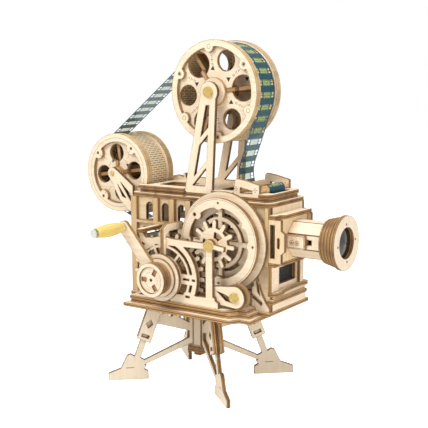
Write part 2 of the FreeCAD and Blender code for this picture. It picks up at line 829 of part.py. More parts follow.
def gear_train():
    back = "gear_front + ply"
    gear = disc("crank_gear", LARGE + " - tooth_root", back, "ply", "crank_x", "crank_z", "shaft_radius")
    opening = sketch(gear, "Y")
    sector(opening, "12.5", LARGE + " - tooth_root - 5", "27", "23")
    around(gear, pocket(gear, opening), "6")
    teeth(gear, back, LARGE, "gear_out", "gear_teeth", "0")
    pinion = disc("pinion", SMALL + " - tooth_root", back, "ply", "wheel_x", "wheel_z", "shaft_radius")
    ring = sketch(pinion, "Y")
    sector(ring, "5", SMALL + " - tooth_root - 3.4", "60", "24")
    around(pinion, pocket(pinion, ring), "3")
    facing = "(%s) * (1 + gear_teeth / pinion_teeth) + 180 deg * (1 + 1 / pinion_teeth)" % LINE
    teeth(pinion, back, SMALL, "pinion_out", "pinion_teeth", facing)


DRUM_BACK = "drum_front + 14.5"
ARM_BACK = "drum_front + 10.5"
HANDLE_X = "crank_x + crank_throw * cos(crank_angle)"
HANDLE_Z = "crank_z + crank_throw * sin(crank_angle)"


def crank():
    """The shaft with its drum, arm and handle, and the roller that pulls the film."""
    shaft = body("crank_shaft", "crank_x", "0", "crank_z")
    face = sketch(shaft, "Y", "wall_half + 2")
    circle(face, "shaft_radius")
    pad(shaft, face, "wall_half + 2 - drum_front - ply")

    drum = disc("crank_drum", "flange_radius", DRUM_BACK, "2.5", "crank_x", "crank_z")
    for radius, back, thick in (("flange_radius - 3.5", "drum_front + 12", "1.5"),
                                ("drum_radius", "drum_front + 7.5", "4.5"),
                                ("drum_face", "drum_front + 3", "3")):
        step = sketch(drum, "Y", back)
        circle(step, radius)
        pad(drum, step, thick)
    hole = sketch(drum, "Y", DRUM_BACK)
    circle(hole, "shaft_radius")
    feature = pocket(drum, hole, "14.5 - ply")
    feature.Reversed = True
    recess = sketch(drum, "Y", "drum_front")
    circle(recess, "drum_face - 3.2")
    pocket(drum, recess, "1.2")
    dot = sketch(drum, "Y", "drum_front")
    circle(dot, "1.1")
    pocket(drum, dot, "2.4")
    slot = sketch(drum, "Y", "drum_front")
    outline(slot, *spin("60", ("4.4", "0 - 1.6"), ("9.2", "0 - 1.6"), ("9.2", "1.6"), ("4.4", "1.6")))
    around(drum, pocket(drum, slot, "2.2"), "3")

    arm = disc("crank_arm", "drum_radius", ARM_BACK, "ply", "crank_x", "crank_z")
    throw = ("crank_throw * cos(crank_angle)", "crank_throw * sin(crank_angle)")
    add(arm, ARM_BACK, (("0", "0"), throw, "arm_width"), ("arm_width / 2",) + throw)
    cut(arm, "Y", ("shaft_radius",), ("pin_radius",) + throw)

    disc("drive_roller", "sprocket_radius", "film_half + 1.6", "2 * film_half + 3.2", "crank_x", "crank_z",
         "shaft_radius")


def handle():
    """The grip turns on a pin fixed in the crank arm."""
    pin = disc("handle_pin", "pin_radius", ARM_BACK, "3 + 1.4 + handle_length + 2 * gap + 2", HANDLE_X,
               HANDLE_Z)
    for back, thick in (("drum_front + 7.5", "1.4"), ("drum_front + 6.1 - handle_length - 2 * gap", "2")):
        collar_face = sketch(pin, "Y", back)
        circle(collar_face, "handle_neck - 0.4")
        pad(pin, collar_face, thick)
    grip = body("handle_grip", HANDLE_X, "drum_front + 6.1 - gap - handle_length", HANDLE_Z)
    profile = sketch(grip, "Z")
    swelling = [("handle_neck + (handle_radius - handle_neck) * sin(%d)" % (30 * step),
                 "handle_length * %d / 6" % step)
                for step in range(7)]
    outline(profile, ("pin_radius + fit", "0"), *swelling, ("pin_radius + fit", "handle_length"))
    turned = grip.newObject("PartDesign::Revolution", "Turned")
    turned.Profile = profile
    turned.ReferenceAxis = (profile, ["V_Axis"])
    turned.Angle = 360


def flywheel():
    """Three plates: a ring with bosses and a hook, a spacer with the cross, and the wide rim plate."""
    front = disc("flywheel_front", "wheel_radius", "wheel_front + ply", "ply", "wheel_x", "wheel_z",
                 "wheel_inner")
    middle = "(wheel_radius + wheel_inner) / 2"
    boss = sketch(front, "Y", "wheel_front + ply")
    circle(boss, "(wheel_radius - wheel_inner) / 2 + 0.8", middle + " - 0.9")
    around(front, pad(front, boss, "ply"), "4")
    add(front, "wheel_front + ply", ("3.6",) + polar("wheel_inner + 0.8", "134"),
        spin("32", ("wheel_inner + 1", "0 - 3.6"), ("wheel_inner + 1", "3.6"), ("wheel_inner - 3", "0.6")))
    cut(front, "Y", ("1.4",) + polar("wheel_inner + 2.8", "137"))
    for outer, inner in (("wheel_spacer", "wheel_inner + 1.2"), ("wheel_ring", "wheel_ring - 3.5"),
                         ("8", "shaft_radius")):
        ring = sketch(front, "Y", "wheel_front + 2 * ply")
        circle(ring, outer)
        circle(ring, inner)
        pad(front, ring, "ply")
    arms = sketch(front, "Y", "wheel_front + 2 * ply")
    box(arms, "7", "wheel_inner + 2.4", "0 - 2", "2")
    around(front, pad(front, arms, "ply"), "4")

    rim = disc("flywheel_rim", "wheel_rim", "wheel_front + 3 * ply", "ply", "wheel_x", "wheel_z",
               "shaft_radius")
    for middle in ("66", "114"):
        slot = sketch(rim, "Y")
        sector(slot, "wheel_slot - 1.1", "wheel_slot + 1.1", middle, "20")
        around(rim, pocket(rim, slot), "2")
    opening = sketch(rim, "Y")
    sector(opening, "9", "wheel_slot - 4.4", "45", "28")
    around(rim, pocket(rim, opening), "4")

    shaft = body("flywheel_shaft", "wheel_x", "0", "wheel_z")
    face = sketch(shaft, "Y", "0 - (wall_half - ply - 4)")
    circle(face, "shaft_radius")
    pad(shaft, face, "0 - (wall_half - ply - 4) - bracket_front - gap")
    for back, thick in (("0 - (wall_half + gap)", "0 - (wall_half + gap) - (wheel_front + 3 * ply)"),
                        ("wheel_front + ply", "wheel_front - gear_front"),
                        ("gear_front", "gear_front - bracket_front - ply - gap")):
        washer = sketch(shaft, "Y", back)
        circle(washer, "shaft_radius + 2")
        pad(shaft, washer, thick)


TIE_UNDER = "bay_head"


def bearing_bracket():
    """The front bearing plate: a cross arm on a post and foot, with two guard arcs round the crank gear."""
    back = "bracket_front + ply"
    floor = BASE_TOP + " + ply"
    owner = body("bearing_bracket")
    add(owner, back,
        [("crank_x - 21.8", "crank_z + 17"), ("crank_x - 8", "crank_z + 25"),
         ("wheel_x - 2", "wheel_z - 3.2"),
         ("wheel_x - 2", "wheel_z + 1.6"), ("crank_x - 3", "crank_z + 31"),
         ("crank_x - 18.3", "crank_z + 29.4"),
         ("crank_x - 21.4", TIE_UNDER), ("crank_x - 25.1", TIE_UNDER)],
        ("4.8", "wheel_x", "wheel_z"),
        (("wheel_x", "wheel_z"), ("wheel_x + 13.7", "wheel_z - 1.8"), "3.6"),
        [("wheel_x - 3.2", floor), ("wheel_x + 3.2", floor), ("wheel_x + 3.2", "wheel_z"),
         ("wheel_x - 3.2", "wheel_z")],
        [("crank_x + 5.5", floor), ("wheel_x + 8.1", floor), ("wheel_x + 8.1", floor + " + 4.6"),
         ("wheel_x + 5.4", floor + " + 6"), ("wheel_x + 4.6", floor + " + 8.6"),
         ("wheel_x - 5", floor + " + 7.6"),
         ("crank_x + 5.5", floor + " + 6.6")])
    hub = sketch(owner, "Y", back)
    circle(hub, "17.6", "crank_x", "crank_z")
    pad(owner, hub, "ply")
    for inner, outer in (("guard_radius - 4.2", "guard_radius"),
                         ("guard_radius - 8.8", "guard_radius - 6.4")):
        band = sketch(owner, "Y", back)
        sector(band, inner, outer, "47", "78", "crank_x", "crank_z")
        pad(owner, band, "ply")
    for angle, reach, width in (("0", "guard_radius - 1", "8.4"), ("52", "guard_radius - 7", "2.4"),
                                ("113", "guard_radius - 2", "2.6")):
        spoke = sketch(owner, "Y", back)
        corners = spin(angle, ("15", "0 - %s / 2" % width), (reach, "0 - %s / 2" % width),
                       (reach, "%s / 2" % width), ("15", "%s / 2" % width))
        outline(spoke, *[("crank_x + " + x, "crank_z + " + z) for x, z in corners])
        pad(owner, spoke, "ply")
    hook = ("crank_x + (guard_radius - 5.2) * cos(0 - 31)", "crank_z + (guard_radius - 5.2) * sin(0 - 31)")
    add(owner, back, ("4.4",) + hook)
    cut(owner, "Y",
        ("shaft_radius + fit", "crank_x", "crank_z"), ("shaft_radius + fit", "wheel_x", "wheel_z"),
        [("crank_x + 18.6", "crank_z - 0.7"), ("crank_x + 24.4", "crank_z - 0.7"),
         ("crank_x + 24.4", "crank_z + 0.7"), ("crank_x + 18.6", "crank_z + 0.7")],
        [("crank_x + 27.2", "crank_z - 0.7"), ("crank_x + 30.2", "crank_z - 0.7"),
         ("crank_x + 30.2", "crank_z + 0.7"), ("crank_x + 27.2", "crank_z + 0.7")],
        [(hook[0] + " - 2", hook[1] + " - 0.8"), (hook[0] + " + 2", hook[1] + " - 0.8"),
         (hook[0] + " + 2", hook[1] + " + 0.8"), (hook[0] + " - 2", hook[1] + " + 0.8")],
        [("crank_x - 22.4", "crank_z + 24.2"), ("crank_x - 19.8", "crank_z + 23"),
         ("crank_x - 19.2", "crank_z + 24.2"), ("crank_x - 21.8", "crank_z + 25.4")])


def bracket_stays():
    """The tie and the post that hold the bracket off the wall, and the corner gusset."""
    tie = body("tie", z=TIE_UNDER)
    face = sketch(tie, "Z")
    outline(face, ("crank_x - 25.1", "bracket_front - 3"), ("crank_x - 20.2", "bracket_front - 3"),
            ("crank_x - 20.2", "0 - wall_half"), ("crank_x - 25.1", "0 - wall_half"))
    pad(tie, face, "ply")
    post = body("post", "crank_x - 0.6")
    face = sketch(post, "X")
    front, wall = "bracket_front - 3.4", "0 - wall_half - ply"
    low = "(crank_z + %s + 0.8)" % GEAR_TIP
    outline(face, (front, "crank_z + 14", "1.7"), (front + " + 1.7", "crank_z + 12.3", "1.7"),
            ("bracket_front", "crank_z + 14"),
            ("bracket_front", low + " - 3.6"), ("bracket_front + 5", low),
            (wall, low), (wall, low + " + 5.6"), (front + " + 5", low + " + 6.4"), (front, low + " + 3"))
    pad(post, face, "ply")
    gusset = body("gusset")
    face = sketch(gusset, "Y", "0 - wall_half")
    floor = BASE_TOP
    outline(face, ("idler_x + 3.4", floor + " + ply"), (NOSE, floor + " + ply"), (NOSE, floor),
            ("wall_right + 1", floor), ("wall_right + 1", floor + " + 3", "-52"),
            ("wall_right - 11.4", "housing_foot - 4.6"),
            ("wall_right - 14.4", "housing_foot - 4.6"), ("idler_x + 3.4", floor + " + 12"))
    pad(gusset, face, "ply")
    cut(gusset, "Y",
        [("wall_right - 9.6", floor + " + 15"), ("wall_right - 7", floor + " + 12"),
         ("wall_right - 9.2", floor + " + 22"),
         ("wall_right - 11.4", floor + " + 27")],
        [("wall_right - 15.6", floor + " + 17.6"), ("wall_right - 12.8", floor + " + 20"),
         ("wall_right - 14.6", floor + " + 26")],
        [("wall_right - 17", floor + " + 12"), ("wall_right - 6", floor + " + 4.6"),
         ("wall_right - 5", floor + " + 7"),
         ("wall_right - 16", floor + " + 14.6")])
    group("bracket_stays", [tie, post, gusset])


def idler():
    """The teardrop arm behind the bracket's post, and the roller that turns the film at the bottom."""
    back = "bracket_front + 2 * ply"
    arm = plate("idler_arm", back,
                ("wheel_x - 2.6", "idler_z + 0.6"), ("idler_x - 13", "idler_z - 7.4"),
                ("idler_x - 1.4", "idler_z - 8.5"),
                ("idler_x", "idler_z + 8.6"), ("wheel_x - 2.6", "idler_z + 6"))
    add(arm, back, ("8.6", "idler_x", "idler_z"))
    cut(arm, "Y", ("axle_radius + fit", "idler_x", "idler_z"),
        [("idler_x - 16.4", "idler_z + 3"), ("idler_x - 8", "idler_z - 3.6"),
         ("idler_x - 1", "idler_z - 4.4"),
         ("idler_x - 4.4", "idler_z - 0.6"), ("idler_x - 9", "idler_z + 1.4")])
    roller = disc("idler_roller", "idler_radius", "film_half + 1.6", "2 * film_half + 3.2", "idler_x",
                  "idler_z")
    shaft = sketch(roller, "Y", "wall_half")
    circle(shaft, "axle_radius")
    pad(roller, shaft, "wall_half - bracket_front - ply")
    wheel = sketch(roller, "Y", "bracket_front + 3 * ply + gap")
    circle(wheel, "idler_radius + 0.3")
    pad(roller, wheel, "ply")


def axles():
    """Fixed axles of the two reels, and the guide rod at the rear slot."""
    members = [axle("upper_x", "upper_z", "frame_inner + ply"),
               axle("lower_x", "lower_z", "frame_inner + ply + 1.3"),
               axle("rod_x", "rod_z", "wall_half - ply", "rod_radius")]
    group("reel_axles", members)
    caps = []
    for radius, x, z, back in (("4.2", "upper_x", "upper_z", "0 - frame_inner - ply"),
                               ("4.2", "upper_x", "upper_z", "frame_inner + ply + 2"),
                               ("4.1", "wheel_x", "wheel_z", "bracket_front"),
                               ("3.8", "idler_x", "idler_z", "bracket_front + ply")):
        caps.append(disc("cap", radius, back, "2", x, z))
    group("axle_caps", caps)


def film_guide():
    """Two plates on the roof that carry the rollers over the gate, in bores that stay blind outside."""
    plates = []
    window_left, window_right = GUIDE_LEFT + " + 6.7", GUIDE_RIGHT + " - 6.3"
    for back, inner_face in (("0 - frame_inner", "0 - frame_inner"), ("frame_inner + ply", "frame_inner")):
        owner = plate("guide_plate", back,
                      (GUIDE_LEFT, LEDGE), (GUIDE_RIGHT, LEDGE), (GUIDE_RIGHT, ROOF + " + 7"),
                      (GUIDE_LEFT + " + 11", ROOF + " + 10"), (GUIDE_LEFT + " + 3", ROOF + " + 11"),
                      (GUIDE_LEFT + " + 2", ROOF + " + 9.6"))
        cut(owner, "Y", [(window_left, ROOF), (window_right, ROOF), (window_right, ROOF + " + 2.4"),
                         (window_left, ROOF + " + 4.4")])
        bores = sketch(owner, "Y", inner_face)
        circle(bores, "guide_axle + fit", "guide_x", "guide_z")
        circle(bores, "guide_axle + fit", "front_x", "front_z")
        pocket(owner, bores, "ply - 1").Reversed = inner_face == back
        plates.append(owner)
    group("guide_plates", plates)
    for label, radius, x, z in (("guide_roller", "guide_radius", "guide_x", "guide_z"),
                                ("front_roller", "front_radius", "front_x", "front_z")):
        roller = disc(label, radius, "12.4", "24.8", x, z)
        shaft = sketch(roller, "Y", "frame_inner + ply - 1 - gap")
        circle(shaft, "guide_axle")
        pad(roller, shaft, "2 * (frame_inner + ply - 1 - gap)")


def belt(wheels):
    """The face inside a closed band that runs clockwise round wheels taken in order. Each wheel is
    (x, z, radius, side): side 1 is inside the band, -1 outside it."""
    near = -value("film_half")
    spots = []
    for number, (x, z, radius, side) in enumerate(wheels):
        after = wheels[(number + 1) % len(wheels)]
        first, second = radius * side, after[2] * after[3]
        run, rise = after[0] - x, after[1] - z
        reach = math.hypot(run, rise)
        heading = math.atan2(rise, run) + math.asin((second - first) / reach)
        across = FreeCAD.Vector(-math.sin(heading), 0, math.cos(heading))
        spots.append((FreeCAD.Vector(x, near, z) + across * first,
                      FreeCAD.Vector(after[0], near, after[1]) + across * second))
    edges = []
    for number, (x, z, radius, side) in enumerate(wheels):
        start, end = spots[number - 1][1], spots[number][0]
        centre = FreeCAD.Vector(x, near, z)
        middle = (start - centre) + (end - centre)
        turn = (start - centre).cross(end - centre).y * side
        if turn < 0:
            middle = middle * -1
        middle = centre + middle.normalize() * radius
        edges.append(Part.Arc(start, middle, end).toShape())
        edges.append(Part.LineSegment(end, spots[number][1]).toShape())
    return Part.Face(Part.Wire(edges))


def film():
    """The film as one closed band, which sags inwards between the upper reel and the gate."""
    near = value("gap")
    wheels = []
    for x, z, radius, side in (("upper_x", "upper_z", "upper_drum", 1),
                               ("slack_x", "slack_z", "slack_radius", -1),
                               ("guide_x", "guide_z", "guide_radius", -1),
                               ("front_x", "front_z", "front_radius", 1),
                               ("idler_x", "idler_z", "idler_radius", 1),
                               ("crank_x", "crank_z", "sprocket_radius", -1),
                               ("rod_x", "rod_z", "rod_radius", 1),
                               ("lower_x", "lower_z", "lower_drum", 1)):
        wheels.append((value(x), value(z), value(radius) + near, side))
    outer = belt([(x, z, radius + (value("film_thick") if side > 0 else 0), side) for x, z, radius,
                  side in wheels])
    inner = belt([(x, z, radius + (value("film_thick") if side < 0 else 0), side) for x, z, radius,
                  side in wheels])
    band = outer.cut(inner).extrude(FreeCAD.Vector(0, 2 * value("film_half"), 0))
    piece = doc.addObject("Part::Feature", "film_loop")
    piece.Label = "film_loop"
    piece.Shape = band
    piece.setExpression("Placement.Base.x", bound("shift_x"))
    piece.setExpression("Placement.Base.y", bound("shift_y"))
    pieces.append(piece)


# Lens side

def octagon(apothem):
    half = "(%s) * tan(22.5)" % apothem
    return [corner for turn in range(4) for corner in
            spin("%d" % (90 * turn), ("0 - " + half, "0 - (%s)" % apothem), (half, "0 - (%s)" % apothem))]


def lens_housing():
    """Two side plates with a front plate between them, which carries the tube. The far side stands further
    in, and its tab shows on top of the shelf."""
    members = []
    for back in ("0 - wall_half", "housing_far + ply"):
        owner = plate("side", back,
                      ("wall_right", "housing_foot"), ("housing_front", "housing_foot"),
                      ("housing_front", "lens_z - 8.6"),
                      ("housing_front + 3", "lens_z - 6.4"), ("housing_front + 3", "lens_z + 7.4"),
                      ("housing_front", "lens_z + 9.6"), ("housing_front", "housing_head"),
                      ("wall_right", "housing_head"))
        cut(owner, "Y",
            [("wall_right + 1.6", "housing_foot + 4"), ("wall_right + 5.6", "housing_foot + 4"),
             ("wall_right + 5.6", "housing_head - 4"), ("wall_right + 1.6", "housing_head - 4")],
            rounded("housing_front - 3.2", "housing_front - 1.2", "lens_z - 4", "lens_z + 4", "0.6"))
        members.append(owner)
    add(members[1], "housing_far + ply",
        [("wall_right + 3", "housing_head - 1"), ("wall_right + 5.6", "housing_head - 1"),
         ("wall_right + 5.6", "housing_head + ply"), ("wall_right + 3", "housing_head + ply")])
    front = body("front", "tube_start - ply")
    face = sketch(front, "X")
    box(face, "0 - wall_half", "housing_far", "housing_foot", "housing_head")
    circle(face, "tube_flat - ply", "0", "lens_z")
    pad(front, face, "ply")
    members.append(front)
    group("lens_housing", members)

    near, far = "0 - wall_half - ply", "housing_far + ply"
    top = body("shelf", z="housing_head")
    face = sketch(top, "Z")
    outline(face, ("wall_right", near), ("wall_right + 6", near), ("wall_right + 6", near + " + 7"),
            ("housing_front - 1", near + " + 9"), ("housing_front - 1", far), ("wall_right", far))
    pad(top, face, "ply")
    cut(top, "Z", [("wall_right + 3 - fit", "housing_far - fit"),
                   ("wall_right + 5.6 + fit", "housing_far - fit"),
                   ("wall_right + 5.6 + fit", far + " + 1"), ("wall_right + 3 - fit", far + " + 1")])
    low = body("shelf", z="housing_foot - ply")
    face = sketch(low, "Z")
    outline(face, ("wall_right", near), ("wall_right + 6", near), ("wall_right + 6", near + " + 9"),
            ("housing_front - 3", near + " + 12"), ("housing_front - 3", far + " - 7"),
            ("wall_right + 5", far + " - 4"),
            ("wall_right + 5", far), ("wall_right", far))
    pad(low, face, "ply")
    group("lens_shelves", [top, low])


def lens_front():
    """The front under the lens: pillars beside a dark window, over two ledges and a low panel."""
    members = []
    for left, right in (("0 - wall_half - ply", "0 - 18"), ("15", "20.5")):
        pillar = body("pillar", "wall_right")
        face = sketch(pillar, "X")
        box(face, left, right, "ledge_top", "housing_foot - ply")
        pad(pillar, face, "ply")
        members.append(pillar)
    ledge = body("ledge", z="ledge_top - ply")
    face = sketch(ledge, "Z")
    outline(face, ("wall_right", "0 - base_half + 1.5"), ("wall_right + 4.4", "0 - base_half + 1.5"),
            ("wall_right + 6.6", "0 - base_half + 4"), ("wall_right + 6.6", "0 - 19"),
            ("wall_right + 4", "0 - 9"),
            ("wall_right + 3", "6"), ("wall_right + 3.2", "17"), ("wall_right + 5", "22.7", "4"),
            ("wall_right + 3", "base_half - 4.3"),
            ("wall_right", "base_half - 4.3"))
    pad(ledge, face, "ply")
    second = body("ledge", z="ledge_top - 9")
    face = sketch(second, "Z")
    box(face, "wall_right", "wall_right + 4.6", "0 - base_half + 1", "base_half - 7.3")
    pad(second, face, "ply")
    panel = body("panel", "wall_right")
    face = sketch(panel, "X")
    box(face, "0 - wall_half", "wall_half", BASE_TOP, "ledge_top - 9")
    box(face, "0 - wall_half", "wall_half", "ledge_top - 9 + ply", "ledge_top - ply")
    pad(panel, face, "2")
    group("front_ledges", members + [ledge, second, panel])
    pane = body("front_pane", "wall_right - ply - 1.5")
    face = sketch(pane, "X")
    box(face, "0 - 14.5", "14.5", "89.5", "106.5")
    pad(pane, face, "1.5")


def lens():
    tube = body("tube", "tube_start", "0", "lens_z")
    face = sketch(tube, "X")
    outline(face, *octagon("tube_flat"))
    outline(face, *octagon("tube_flat - ply"))
    pad(tube, face, "tube_front - tube_start")
    window = sketch(tube, "Y")
    box(window, "16.8", "20.8", "0 - 2", "2")
    sight = pocket(tube, window, "tube_flat + 1")
    sight.Reversed = True
    label = body("label", "tube_start + 1", "0", "lens_z")
    face = sketch(label, "Y", "0 - tube_flat")
    outline(face, *rounded("0", "15.6", "0 - 5.4", "5.4", "1.6"))
    pad(label, face, "ply")
    group("lens_tube", [tube, label])

    barrel = body("focus_barrel", "barrel_back", "0", "lens_z")
    length = "(barrel_front - ply - barrel_back)"
    for number in range(4):
        ring = sketch(barrel, "X", "%d * %s / 4" % (number, length))
        circle(ring, "barrel_radius + (barrel_flare - barrel_radius) * %d / 3" % number)
        circle(ring, "tube_flat / cos(22.5) + fit" if number < 3 else "glass_radius")
        pad(barrel, ring, length + " / 4")
    flange = sketch(barrel, "X", length)
    circle(flange, "lens_flange")
    circle(flange, "lens_opening")
    pad(barrel, flange, "ply")
    glass = body("lens_glass", "barrel_front - ply", "0", "lens_z")
    profile = sketch(glass, "Y")
    outline(profile, ("0 - %s / 4" % length, "0"), ("1.6", "0"), ("0", "lens_opening - 0.4"),
            ("0", "glass_radius"), ("0 - %s / 4" % length, "glass_radius"))
    turned = glass.newObject("PartDesign::Revolution", "Turned")
    turned.Profile = profile
    turned.ReferenceAxis = (profile, ["H_Axis"])
    turned.Angle = 360


def inside():
    """The lamp on its cross plate, the battery box on the floor and the gate plate behind the lens."""
    lamp = body("lamp", "wheel_x + 6")
    face = sketch(lamp, "X")
    box(face, "0 - (wall_half - ply)", "(wall_half - ply)", "lens_z - 9", "lens_z + 9")
    pad(lamp, face, "ply")
    bulb = sketch(lamp, "X", "ply")
    circle(bulb, "5", "0", "lens_z")
    pad(lamp, bulb, "8")
    case = body("battery_box", z=BASE_TOP)
    face = sketch(case, "Z")
    box(face, "wall_left + 5", "crank_x - sprocket_radius - 4", "0 - 17", "17")
    pad(case, face, "20")
    gate = body("film_gate", "wall_right - 2 * ply")
    face = sketch(gate, "X")
    box(face, "0 - 14", "14", "housing_foot - 3", "wall_top - 4.5")
    box(face, "0 - 7", "7", "lens_z - 5.5", "lens_z + 5.5")
    pad(gate, face, "ply")


stand()
deck()
long_wall("near_wall", "ply - wall_half")
long_wall("far_wall", "wall_half")
end_walls()
group("pilasters", [pilasters("0 - wall_half", True), pilasters("wall_half + ply", False)])
cornice()
towers()
group("takeup_arms", [takeup_arm("0 - frame_inner"), takeup_arm("frame_inner + ply")])
reels()
gear_train()
crank()
handle()
flywheel()
bearing_bracket()
bracket_stays()
idler()
axles()
film_guide()
film()
lens_housing()
lens_front()
lens()
inside()

doc.recompute()
for item in doc.Objects:
    if "Invalid" in item.State or "Error" in item.State:
        raise RuntimeError("%s is not sound: %s" % (item.Label, item.getStatusString()))
for piece in pieces:
    if piece.Shape.isNull() or not piece.Shape.isValid():
        raise RuntimeError("%s has no sound shape" % piece.Label)
    piece.Shape.exportStep("parts/%s.step" % piece.Label)
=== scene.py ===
import json
import math
import bpy
import numpy as np
from mathutils import Matrix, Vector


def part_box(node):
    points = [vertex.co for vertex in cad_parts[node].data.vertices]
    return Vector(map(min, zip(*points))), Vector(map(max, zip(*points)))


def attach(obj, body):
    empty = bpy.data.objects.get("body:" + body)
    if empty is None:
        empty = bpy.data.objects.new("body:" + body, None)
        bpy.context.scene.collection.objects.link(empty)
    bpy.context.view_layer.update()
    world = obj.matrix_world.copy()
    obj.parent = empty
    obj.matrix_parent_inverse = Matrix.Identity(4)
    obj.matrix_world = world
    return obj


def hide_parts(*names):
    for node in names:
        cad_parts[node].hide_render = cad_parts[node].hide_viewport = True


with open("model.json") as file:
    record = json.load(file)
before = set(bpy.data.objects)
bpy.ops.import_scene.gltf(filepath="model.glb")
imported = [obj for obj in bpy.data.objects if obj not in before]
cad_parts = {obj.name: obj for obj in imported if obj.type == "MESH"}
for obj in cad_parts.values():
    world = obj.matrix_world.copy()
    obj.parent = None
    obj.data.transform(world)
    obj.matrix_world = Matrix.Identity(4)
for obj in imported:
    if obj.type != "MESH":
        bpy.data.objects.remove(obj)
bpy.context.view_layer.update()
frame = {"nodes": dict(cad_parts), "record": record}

# A hand-cranked film projector of laser-cut birch ply on four legs, in metres.
# The lens looks along +X, the crank is on the -Y side, and Z is up.

MM = 0.001
SHEET = 3.0 * MM
BODY_X = -10.8 * MM
BODY_Y = 24.2 * MM
STAND_Y = BODY_Y - 5.0 * MM
LEG_ANGLE = math.radians(41.5)
FRONT_LEG_ANGLE = math.radians(39.4)
NODES = frame["nodes"]
JOINTS = {joint["name"]: joint for joint in frame["record"]["behaviour"]["joints"]}


def linear(red, green, blue):
    """A colour as it shows on a screen, from 0 to 255, as the linear values that Blender mixes."""
    shown = np.array([red, green, blue]) / 255.0
    mixed = np.where(shown <= 0.04045, shown / 12.92, ((shown + 0.055) / 1.055) ** 2.4)
    return (*[float(part) for part in mixed], 1.0)


# Node trees

class Graph:
    """Short names for the nodes of one material or group. Every argument is a number, a tuple or a socket."""

    def __init__(self, tree):
        self.tree = tree

    def fill(self, node, values):
        """Each socket of a node takes a value of its own or the output of another node."""
        for socket, value in values.items():
            target = node.inputs[socket]
            if isinstance(value, bpy.types.NodeSocket):
                self.tree.links.new(value, target)
            else:
                target.default_value = value

    def node(self, kind, values, **settings):
        made = self.tree.nodes.new(kind)
        for name, setting in settings.items():
            setattr(made, name, setting)
        self.fill(made, values)
        return made

    def use(self, group, **values):
        return self.node("ShaderNodeGroup", values, node_tree=group).outputs

    def math(self, operation, *values):
        return self.node("ShaderNodeMath", dict(enumerate(values)), operation=operation).outputs[0]

    def vector(self, operation, *values):
        made = self.node("ShaderNodeVectorMath", dict(enumerate(values)), operation=operation)
        return made.outputs["Value" if operation in ("DOT_PRODUCT", "LENGTH") else "Vector"]

    def scaled(self, vector, scale):
        made = self.node("ShaderNodeVectorMath", {0: vector, "Scale": scale}, operation="SCALE")
        return made.outputs["Vector"]

    def mix(self, factor, first, second):
        """A colour between two others."""
        return self.node("ShaderNodeMix", {0: factor, 6: first, 7: second}, data_type="RGBA").outputs[2]

    def choose(self, factor, first, second):
        """One of two axes."""
        return self.node("ShaderNodeMix", {0: factor, 4: first, 5: second}, data_type="VECTOR").outputs[1]

    def between(self, value, low, high, first=0.0, last=1.0):
        """First up to low, last from high on, and a smooth step from one to the other."""
        values = {0: value, 1: low, 2: high, 3: first, 4: last}
        return self.node("ShaderNodeMapRange", values, interpolation_type="SMOOTHSTEP").outputs[0]

    def apart(self, first, second):
        """How far two numbers are apart."""
        return self.math("ABSOLUTE", self.math("SUBTRACT", first, second))

    def within(self, value, low, high):
        """1 where a number lies between two others."""
        return self.math("LESS_THAN", self.apart(value, (low + high) / 2), (high - low) / 2)

    def noise(self, vector, scale, detail=2.0, rough=0.5):
        values = {"Vector": vector, "Scale": scale, "Detail": detail, "Roughness": rough}
        return self.node("ShaderNodeTexNoise", values).outputs[0]

    def ramp(self, value, *stops):
        made = self.node("ShaderNodeValToRGB", {0: value})
        points = made.color_ramp.elements
        while len(points) < len(stops):
            points.new(0.5)
        for point, (place, colour) in zip(points, stops):
            point.position = place
            point.color = colour
        return made.outputs[0]

    def split(self, vector):
        return self.node("ShaderNodeSeparateXYZ", {0: vector}).outputs

    def join(self, x, y, z):
        return self.node("ShaderNodeCombineXYZ", {0: x, 1: y, 2: z}).outputs[0]


KINDS = {"value": "NodeSocketFloat", "vector": "NodeSocketVector", "colour": "NodeSocketColor"}


def new_group(name, inputs, outputs):
    tree = bpy.data.node_groups.new(name, "ShaderNodeTree")
    for label, kind in inputs.items():
        tree.interface.new_socket(label, in_out="INPUT", socket_type=KINDS[kind])
    for label, kind in outputs.items():
        tree.interface.new_socket(label, in_out="OUTPUT", socket_type=KINDS[kind])
    graph = Graph(tree)
    return tree, graph, tree.nodes.new("NodeGroupInput").outputs, tree.nodes.new("NodeGroupOutput").inputs


def fresh_graph(owner):
    """An empty node tree for a material or a world."""
    owner.use_nodes = True
    owner.node_tree.nodes.clear()
    return Graph(owner.node_tree)


SEAM = linear(96, 62, 32)


